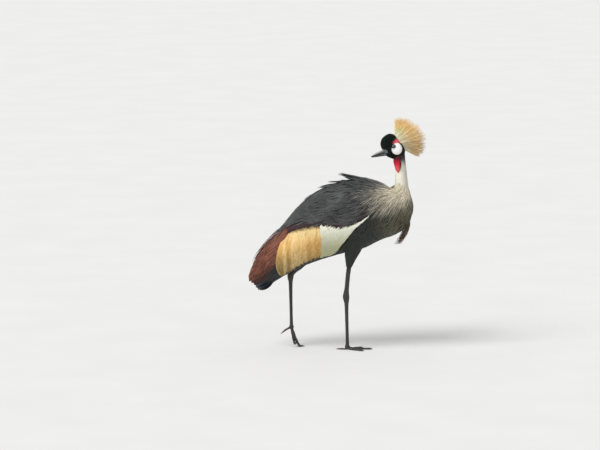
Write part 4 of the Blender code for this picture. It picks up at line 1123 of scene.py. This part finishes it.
def breastTuft():
    count = tuftLook["count"]
    t = np.linspace(0, 1, tuftLook["points"])[None, :]
    reach = dice.uniform(0.45, 1.0, count) * 0.85
    s = dice.uniform(0, 0.25, count)[:, None] + reach[:, None] * t
    line = between(np.array(tuftLook["line"]), np.clip(s, 0, 1) * (len(tuftLook["line"]) - 1))
    y = dice.normal(0, 0.013, count)[:, None] * (1 - 0.35 * s)
    x = line[..., 0] + dice.normal(0, 0.0045, count)[:, None] * (0.5 + 1.2 * s)
    quill = np.stack([x, y, line[..., 1]], axis=-1)
    normal = np.broadcast_to(unit(np.array(tuftLook["facing"])), quill.shape)
    tints = speckled(blend("breast", "brown", ease(s, 0.0, 0.6)), 0.45)
    places = np.stack([0.5 + y[:, 0] * 4, 0.2 + 0.3 * s[:, 0]], axis=1)
    width = tuftLook["width"] * dice.uniform(0.7, 1.3, count)
    featherMesh("breast_tuft", tuftLook, [(quill, normal, width, tints, places)])


breastTuft()
print("tail, thighs and tuft done")

# Crest: a full fan of stiff bristles from the hind crown

crestLook = {"shape": "tuft", "slim": True, "thick": 0.0008, "roll": 1.5, "count": 950, "width": 0.00135,
             "points": 8, "finish": "crest", "slot": "crest_gold",
             "foot": (0.248, 0, 0.856), "axis": (0.866, 0, 0.5), "base": (0.041, 0.014),
             "pitch": 58, "yaw": 40, "stray": 0.035, "droop": 0.02,
             "reach": ([-58, -38, -15, 8, 35, 58], [0.071, 0.095, 0.112, 0.106, 0.085, 0.063])}


def crestBristles():
    count = crestLook["count"]
    axis = unit(np.array(crestLook["axis"]))
    upAxis = np.array((-axis[2], 0, axis[0]))
    sideAxis = np.array(yAxis)
    share = np.sqrt((np.arange(count) + 0.5) / count)
    spin = np.arange(count) * math.pi * (3 - math.sqrt(5))
    pitch = share * np.sin(spin) * math.radians(crestLook["pitch"])
    yaw = share * np.cos(spin) * math.radians(crestLook["yaw"])
    way = unit(axis * (np.cos(pitch) * np.cos(yaw))[:, None] + upAxis * np.sin(pitch)[:, None]
               + sideAxis * np.sin(yaw)[:, None])
    high, wide = crestLook["base"]
    root = (np.array(crestLook["foot"]) + upAxis * (np.sin(pitch) * high)[:, None]
            + sideAxis * (np.sin(yaw) * wide)[:, None])
    long = np.interp(np.degrees(pitch), *crestLook["reach"]) * (1 - 0.12 * np.abs(np.sin(yaw)))
    long = long * dice.uniform(0.86, 1.05, count)
    stray = crestLook["stray"]
    bend = (upAxis * dice.normal(0, stray, (count, 1)) + sideAxis * dice.normal(0, stray, (count, 1))
            - np.array((0, 0, crestLook["droop"])))
    t = np.linspace(0, 1, crestLook["points"])[None, :, None]
    quill = root[:, None, :] + long[:, None, None] * (way[:, None, :] * t + bend[:, None, :] * t ** 2)
    quill = moved(quill, headSwing)
    normal = unit(np.broadcast_to(np.cross(way, sideAxis + 0.3)[:, None, :], quill.shape))
    tints = blend("crestPale", "crest", ease(t[..., 0], 0.20, 0.72))
    tints = blend(tints, "crestTip", ease(t[..., 0], 0.65, 1.0))
    # painted light: the bristles that rise in front and above, towards the light, are paler, the lower ones
    # darker with painted shade
    tints = speckled(tints * mix(0.76, 1.08, ease(pitch, -0.7, 0.4))[:, None, None], 0.15)   # palest in front
    places = np.stack([0.5 + 0.4 * np.sin(yaw), 0.5 + 0.4 * np.sin(pitch)], axis=1)
    width = crestLook["width"] * dice.uniform(0.8, 1.2, count)
    featherMesh("crest_bristles", crestLook, [(quill, normal, width, tints, places)], "crest")


crestBristles()
print("crest done")

# Eyes and lids

irisBlue = (0.24, 0.29, 0.32)
lidBlack = (0.008, 0.008, 0.009)


def streaked(tree, shader):
    coloured(tree, shader, patchy(tree, 0.72, 1.12, 1400, 2, (1, 0.2, 1)), irisBlue)


def wrinkled(tree, shader):
    coloured(tree, shader, patchy(tree, 0.7, 1.3, 500), lidBlack)
    relief(tree, shader, noiseAt(tree, 1500, 4), 0.5, 0.0005)


iris = makeMaterial("eyeIris", irisBlue, 0.25, streaked, Coat_Weight=1.0, Coat_Roughness=0.03)
pupil = makeMaterial("eyePupil", (0.004, 0.004, 0.005), 0.1, Coat_Weight=1.0, Coat_Roughness=0.03)
rim = makeMaterial("eyeRim", (0.006, 0.006, 0.007), 0.45, Specular_IOR_Level=0.2)
lidSkin = makeMaterial("lidSkin", lidBlack, 0.7, wrinkled, Specular_IOR_Level=0.15)


def buildEyeball(side, name):
    bpy.ops.object.select_all(action="DESELECT")
    bpy.ops.mesh.primitive_uv_sphere_add(segments=48, ring_count=32, radius=eye["radius"],
                                         rotation=(side * -math.pi / 2, 0, 0),
                                         location=(eye["x"], side * eye["y"], eye["z"]))
    ball = bpy.context.object
    ball.name = name + "_ball"
    bpy.ops.object.transform_apply(location=True, rotation=True, scale=True)
    ball.data.transform(headSwing)
    settled(ball, iris, "eye_blue", name)
    ball.data.materials.append(pupil)
    ball.data.materials.append(rim)
    centre = headSwing @ Vector((eye["x"], side * eye["y"], eye["z"]))
    facing = headSwing.to_3x3() @ Vector((0, side, 0))
    for face in ball.data.polygons:
        away = math.degrees((face.center - home - centre).angle(facing))
        face.material_index = 1 if away < eye["pupil"] else 0 if away < eye["iris"] else 2


def buildLid(side, name):
    bpy.ops.mesh.primitive_torus_add(major_segments=48, minor_segments=12, major_radius=eye["lidRing"],
                                     minor_radius=eye["lidThick"], rotation=(math.pi / 2, 0, 0),
                                     location=(eye["x"], side * (eye["y"] + eye["lidOut"]), eye["z"]))
    lid = bpy.context.object
    lid.name = name + "_lid"
    bpy.ops.object.transform_apply(location=True, rotation=True, scale=True)
    bpy.ops.object.mode_set(mode="EDIT")
    bpy.ops.mesh.select_all(action="DESELECT")
    bpy.ops.object.mode_set(mode="OBJECT")
    for corner in lid.data.vertices:    # the upper lid comes down over the ball
        corner.select = corner.co.z > eye["z"] + eye["upperLid"]
    bpy.ops.object.mode_set(mode="EDIT")
    bpy.ops.transform.resize(value=eye["lidSqueeze"], center_override=(eye["x"], 0, eye["z"]))
    bpy.ops.mesh.select_all(action="SELECT")
    bpy.ops.mesh.normals_make_consistent(inside=False)
    bpy.ops.object.mode_set(mode="OBJECT")
    lid.data.transform(headSwing)
    settled(lid, lidSkin, "black_velvet")


for side, name in ((-1, "eye_left"), (1, "eye_right")):
    buildEyeball(side, name)
    buildLid(side, name)

# Bill

billLook = {
    # x, top z, bottom z, half width
    "upper": [
        (0.216, 0.8320, 0.8125, 0.0085), (0.198, 0.8300, 0.8110, 0.0088), (0.182, 0.8235, 0.8075, 0.0070),
        (0.164, 0.8150, 0.8030, 0.0054), (0.148, 0.8065, 0.7985, 0.0036), (0.1355, 0.7985, 0.7940, 0.0016)],
    "lower": [
        (0.216, 0.8130, 0.7990, 0.0080), (0.198, 0.8115, 0.7985, 0.0080), (0.182, 0.8081, 0.7970, 0.0064),
        (0.164, 0.8036, 0.7945, 0.0048), (0.150, 0.7996, 0.7930, 0.0032), (0.1390, 0.7955, 0.7920, 0.0015)],
    # upper bill: dark sides under a painted highlight on top; lower bill: painted shade along its top
    "shades": {"upper": ("hornSide", "hornLitTop"), "lower": ("hornUnder", "gapeShadow")},
    "nostril": (0.176, 0.8150), "nostrilSize": (0.0056, 0.0017), "nostrilSlope": 0.42,
    "nostrilDepth": 0.0016, "nostrilRim": 0.0004,
}


def hornMaterial(name, roughness, grain):
    def build(tree, shader):
        streak = noiseAt(tree, 420, 4, grain)
        coloured(tree, shader, rerange(tree, streak, 0.3, 0.7, 0.80, 1.18))
        relief(tree, shader, streak, 0.25, 0.0004)
    return makeMaterial(name, (0.2, 0.2, 0.2), roughness, build, Coat_Weight=0.1, Coat_Roughness=0.3)


def carveNostrils(tube):
    nx, nz = billLook["nostril"]
    rx, rz = billLook["nostrilSize"]
    for side in (-1, 1):
        pick(tube)
        bpy.ops.object.mode_set(mode="EDIT")
        bpy.ops.mesh.select_all(action="DESELECT")
        bpy.ops.object.mode_set(mode="OBJECT")
        for face in tube.data.polygons:
            spot = headBack @ face.center
            high = (spot.z - nz) - billLook["nostrilSlope"] * (spot.x - nx)
            face.select = spot.y * side > 0.002 and abs(spot.x - nx) < rx and abs(high) < rz
        bpy.ops.object.mode_set(mode="EDIT")
        bpy.ops.mesh.inset(thickness=billLook["nostrilRim"])
        way = headSwing.to_3x3() @ Vector((0, -side * billLook["nostrilDepth"], 0))
        bpy.ops.mesh.extrude_region_move(TRANSFORM_OT_translate={"value": way})
        bpy.ops.object.mode_set(mode="OBJECT")


def buildBill(half, horn):
    tube = growTube(f"bill_{half}_horn", sections("bill", 4, billLook[half]), 28, headTurn)
    if half == "upper":
        carveNostrils(tube)
    applied(tube, "SUBSURF", levels=1, render_levels=1)

    def tint(spots):
        x, _, z = moved(spots, headBack).T
        rows = np.array(billLook[half])[::-1]
        top, low = (np.interp(x, rows[:, 0], rows[:, k]) for k in (1, 2))
        # painted light: a painted highlight on the upper bill's top, painted shade on the lower bill's top in
        # the gape
        colour = blend(*billLook["shades"][half], ease((z - low) / (top - low), 0.25, 0.85))
        return blend(colour, "hornBase", 0.75 * ease(x, 0.172, 0.196))

    paintPoints(tube, tint)
    settled(tube, horn, "bill_horn", "bill_" + half, angle=60)


billHorn = hornMaterial("billHorn", 0.38, (0.25, 1, 1))
buildBill("upper", billHorn)
buildBill("lower", billHorn)
print("bill done")

# Throat wattle, a pouch that comes out from under the throat

wattleLook = {"top": 0.802, "bottom": 0.730, "facing": (-0.50, -0.87, 0.0), "x": 0.2560, "drift": 0.003,
              "out": (0.0140, 0.0235), "fullAt": 0.38, "wide": 0.0160, "deep": 0.0062, "levels": 24,
              "folds": 9, "foldDepth": 1 / 12}
wattleFacing = Vector(wattleLook["facing"]).normalized()


def wattleMiddle(t, height):
    out = mix(*wattleLook["out"], math.sin(math.pi / 2 * min(max(t / wattleLook["fullAt"], 0), 1)))
    drift = mix(-wattleLook["drift"], wattleLook["drift"], t)
    return Vector((wattleLook["x"] + drift, 0, height)) + wattleFacing * out


# Painted shadow darkens the top under the throat, a painted highlight brightens the lower middle, painted
# shade darkens the rear side
def wattleTint(spots):
    t = (wattleLook["top"] - spots[:, 2]) / (wattleLook["top"] - wattleLook["bottom"])
    colour = blend("wattleTopShadow", "wattle", ease(t, 0.14, 0.50))
    colour = blend(colour, "wattleLit", ease(t, 0.45, 0.75) * (1 - ease(t, 0.85, 1.0)))
    return blend(colour, "wattleRearShade", 0.9 * ease(spots[:, 0], 0.2480, 0.2580))


def fleshy(tree, shader):
    coloured(tree, shader, patchy(tree, 0.82, 1.15, 380, 4, (1, 1, 0.4)))
    relief(tree, shader, noiseAt(tree, 700, 4, (1, 1, 0.5)), 0.5, 0.0006)


def buildWattle():
    top, bottom = wattleLook["top"], wattleLook["bottom"]
    rows = []
    for k in range(wattleLook["levels"] + 1):
        t = k / wattleLook["levels"]
        wide = wattleLook["wide"] * math.sin(math.pi * min(0.14 + 0.90 * t, 1.0)) ** 0.6 + 0.0010
        deep = wattleLook["deep"] * math.sin(math.pi * min(0.24 + 0.74 * t, 1.0)) ** 0.7 + 0.0012
        rows.append((*wattleMiddle(t, mix(top, bottom, t)), deep, wide, math.pi / 2))
    pouch = growTube("throat_wattle", rows, 36)
    turn = Matrix.Rotation(math.atan2(wattleFacing.y, wattleFacing.x), 3, "Z")
    for corner in pouch.data.vertices:      # each level turns to face out of the throat
        t = (top - corner.co.z) / (top - bottom)
        middle = wattleMiddle(t, corner.co.z)
        flat = corner.co - middle
        angle = math.atan2(flat.y, flat.x)
        fold = math.sin(wattleLook["folds"] * angle + 9 * t) * math.sin(math.pi * min(max(t, 0), 1))
        corner.co = middle + (turn @ flat) * (1 + wattleLook["foldDepth"] * fold)
    applied(pouch, "SUBSURF", levels=1, render_levels=1)
    paintPoints(pouch, wattleTint)
    flesh = makeMaterial("wattleFlesh", (0.6, 0.03, 0.05), 0.6, fleshy, Subsurface_Weight=0.15,
                         Subsurface_Scale=0.004, Specular_IOR_Level=0.15)
    settled(pouch, flesh, "wattle_red", "wattle")


buildWattle()

# Legs, feet and claws

legLook = {
    # name, heading, length, radius
    "toes": (("inner", 32, 0.066, 0.0050), ("middle", 0, 0.094, 0.0056), ("outer", -34, 0.072, 0.0050),
             ("hind", 176, 0.036, 0.0042)),
    "soleDepth": 0.58, "rootRadius": 0.0102, "footVoxel": 0.0011,
    "clawLength": 0.013,
    # run in claw lengths, height and radius in toe radii
    "claw": ((0, 0.10, 0.52), (0.5, 0.16, 0.46), (0.9, -0.04, 0.28), (1.2, -0.36, 0.09)),
}
scuteLook = {"shape": "scute", "thick": 0.00025, "cup": 0.62, "points": 4, "step": 0.0046, "overlap": 1.25,
             "legLength": 0.36, "wide": 1.5, "paler": 1.25, "finish": "tail", "slot": "leg_dark"}


def scaly(tree, shader):
    where = tree.nodes.new("ShaderNodeTexCoord")
    cells = tree.nodes.new("ShaderNodeTexVoronoi")
    cells.inputs["Scale"].default_value = 420
    tree.links.new(where.outputs["Object"], cells.inputs["Vector"])
    edge = rerange(tree, cells.outputs["Distance"], 0.0, 0.7, 1.25, 0.65)
    coloured(tree, shader, sums(tree, "MULTIPLY", edge, patchy(tree, 0.8, 1.3, 60, 4)))
    relief(tree, shader, edge, 0.6, 0.0006)


legSkin = makeMaterial("legSkin", (0.045, 0.044, 0.042), 0.55, scaly)
clawHorn = hornMaterial("clawHorn", 0.35, (1, 1, 0.3))


# A toe from its root to its tip: run, height, radius
def toeLine(rootHeight, length, radius, lifted, hind):
    floor = radius * legLook["soleDepth"]
    swell = [1.15, 1.0, 0.92, 0.72]
    if hind and lifted:
        shape = [(t, rootHeight - fall) for t, fall in ((0, 0), (0.35, 0.006), (0.7, 0.013), (1.0, 0.022))]
    elif not lifted:
        shape = [(0, rootHeight), (0.22, floor), (0.6, floor), (1.0, floor)]
    else:
        swell = [1.15, 1.0, 0.96, 0.88, 0.72]
        reach = min(math.sqrt(max(1 - (rootHeight / length) ** 2, 0.08)), 0.62)
        drop = max(floor, rootHeight - length * 0.985)
        shape = [(reach * t, mix(drop, rootHeight, max(1 - t / 0.78, 0) ** 1.35))
                 for t in (0, 0.22, 0.48, 0.78, 1.0)]
    return [(length * run, z, radius * s) for (run, z), s in zip(shape, swell)]


# Claw rows that go on from the toe's last two
def clawRows(before, end, radius):
    ahead = Vector((end[0] - before[0], 0, end[2] - before[2])).normalized()
    base = Vector(end[:3]) - ahead * radius * 0.9
    return [(*(base + ahead * legLook["clawLength"] * run + Vector((0, 0, radius * z))), radius * r)
            for run, z, r in legLook["claw"]]


def buildFoot(which, lifted):
    root = birdForm["shank_" + which][-1][:3]
    mirror = 1 if which == "right" else -1
    toes, claws = [], []
    for name, heading, length, radius in legLook["toes"]:
        rows = [(root[0] + run, root[1], z, r)
                for run, z, r in toeLine(root[2], length, radius, lifted, name == "hind")]
        # the pads under the joints
        padded = [(x, y, z, up * (1 + 0.09 * math.cos(k * 1.6)), side * (1 + 0.07 * math.cos(k * 1.6)), lean)
                  for k, (x, y, z, up, side, lean) in enumerate(sections("toe", 4, rows))]
        turn = (mirror * heading, root)
        toes.append(growTube("toe_" + name, padded, 16, turn))
        claw = sections("claw", 4, clawRows(rows[-2], rows[-1], radius))
        claws.append(growTube("claw_" + name, claw, 14, turn))
    bpy.ops.object.select_all(action="DESELECT")
    bpy.ops.mesh.primitive_uv_sphere_add(segments=24, ring_count=16, radius=legLook["rootRadius"],
                                         location=root)
    hub = bpy.context.object
    bpy.ops.object.transform_apply(location=True, rotation=True, scale=True)
    foot = joined(f"foot_{which}_skin", [hub] + toes)
    applied(foot, "REMESH", mode="VOXEL", voxel_size=legLook["footVoxel"])
    applied(foot, "SMOOTH", factor=0.5, iterations=3)
    nails = joined(f"claws_{which}", claws)
    for piece, shade in ((foot, "leg"), (nails, "claw")):
        for corner in piece.data.vertices:
            corner.co.z = max(corner.co.z, 0.0)
        paintPoints(piece, shades[shade])
    settled(foot, legSkin, "leg_dark", "foot_" + which)
    settled(nails, clawHorn, "claw_horn", *[f"claw_{which}_{toe[0]}" for toe in legLook["toes"]])


def buildShank(which):
    name = "shank_" + which
    shank = growTube(name + "_skin", sections(name, 5), 28)
    paintPoints(shank, shades["leg"])
    settled(shank, legSkin, "leg_dark", name)


# Scutes down the front of the bare leg, each a curved plate laid like a short broad feather
def buildScutes(which):
    name = "shank_" + which
    last = len(birdForm[name])
    steps = np.linspace(0.6, last - 1.1, int(scuteLook["legLength"] / scuteLook["step"]))
    spots = between(forms[name], steps)
    front = unit(spots[:, 3:6])
    facing = np.where(front[:, 0:1] < 0, -front, front)
    down = unit(np.gradient(spots[:, 0:3], axis=0))
    t = np.linspace(0, 1, scuteLook["points"])[None, :, None]
    radius = np.linalg.norm(spots[:, 3:6], axis=1)
    quill = spots[:, None, 0:3] + facing[:, None, :] * (radius[:, None, None] + scuteLook["thick"] * (1 - t))
    quill = quill + down[:, None, :] * scuteLook["step"] * scuteLook["overlap"] * t
    tints = speckled(np.broadcast_to(shades["leg"] * scuteLook["paler"], quill.shape), 0.25)
    places = np.stack([0.5 + 0 * steps, steps / last], axis=1)
    normal = np.broadcast_to(facing[:, None, :], quill.shape)
    featherMesh(name + "_scutes", scuteLook, [(quill, normal, radius * scuteLook["wide"], tints, places)])


for which, lifted in (("right", False), ("left", True)):
    buildShank(which)
    buildScutes(which)
    buildFoot(which, lifted)
print("legs done")

# Floor, light and camera

studio = {"floorSize": 160.0, "floor": (0.80, 0.79, 0.77), "sky": (0.96, 0.98, 1.0), "skyStrength": 0.62,
          "sunStrength": 2.0, "sunAngle": 30, "sunTilt": 40, "sunFrom": -48,
          "distance": 15.0, "elevation": 8.0, "wide": 2.46, "aim": (-0.1517, 0.5084), "sensor": 36}


def mottled(tree, shader):
    coloured(tree, shader, patchy(tree, 0.985, 1.015, 3.0, 4), studio["floor"])


def buildStudio():
    scene = bpy.context.scene
    bpy.ops.object.select_all(action="DESELECT")
    bpy.ops.mesh.primitive_plane_add(size=studio["floorSize"], location=(0, 0, 0))
    floor = bpy.context.object
    floor.name = "studio_floor"
    floor.data.materials.append(makeMaterial("studioFloor", studio["floor"], 0.9, mottled))
    scene.world = bpy.data.worlds.new("studio")
    scene.world.use_nodes = True
    sky = scene.world.node_tree.nodes["Background"]
    sky.inputs["Color"].default_value = (*studio["sky"], 1)
    sky.inputs["Strength"].default_value = studio["skyStrength"]
    scene.view_settings.view_transform = "Standard"
    sun = bpy.data.lights.new("softSun", "SUN")
    sun.energy = studio["sunStrength"]
    sun.angle = math.radians(studio["sunAngle"])
    lamp = bpy.data.objects.new("softSun", sun)
    lamp.rotation_euler = (math.radians(studio["sunTilt"]), 0, math.radians(studio["sunFrom"]))
    scene.collection.objects.link(lamp)


def buildCamera():
    lift = math.radians(studio["elevation"])
    x, high = studio["aim"]
    aim = home + Vector((x, high * math.sin(lift), high * math.cos(lift)))
    camera = bpy.data.objects.new("camera", bpy.data.cameras.new("camera"))
    camera.data.sensor_width = studio["sensor"]
    camera.data.lens = studio["sensor"] * studio["distance"] / studio["wide"]
    camera.data.clip_end = 500
    camera.location = aim - Vector((0, math.cos(lift), -math.sin(lift))) * studio["distance"]
    camera.rotation_euler = (math.pi / 2 - lift, 0, 0)
    bpy.context.scene.collection.objects.link(camera)
    bpy.context.scene.camera = camera


buildStudio()
buildCamera()
bpy.ops.object.select_all(action="DESELECT")
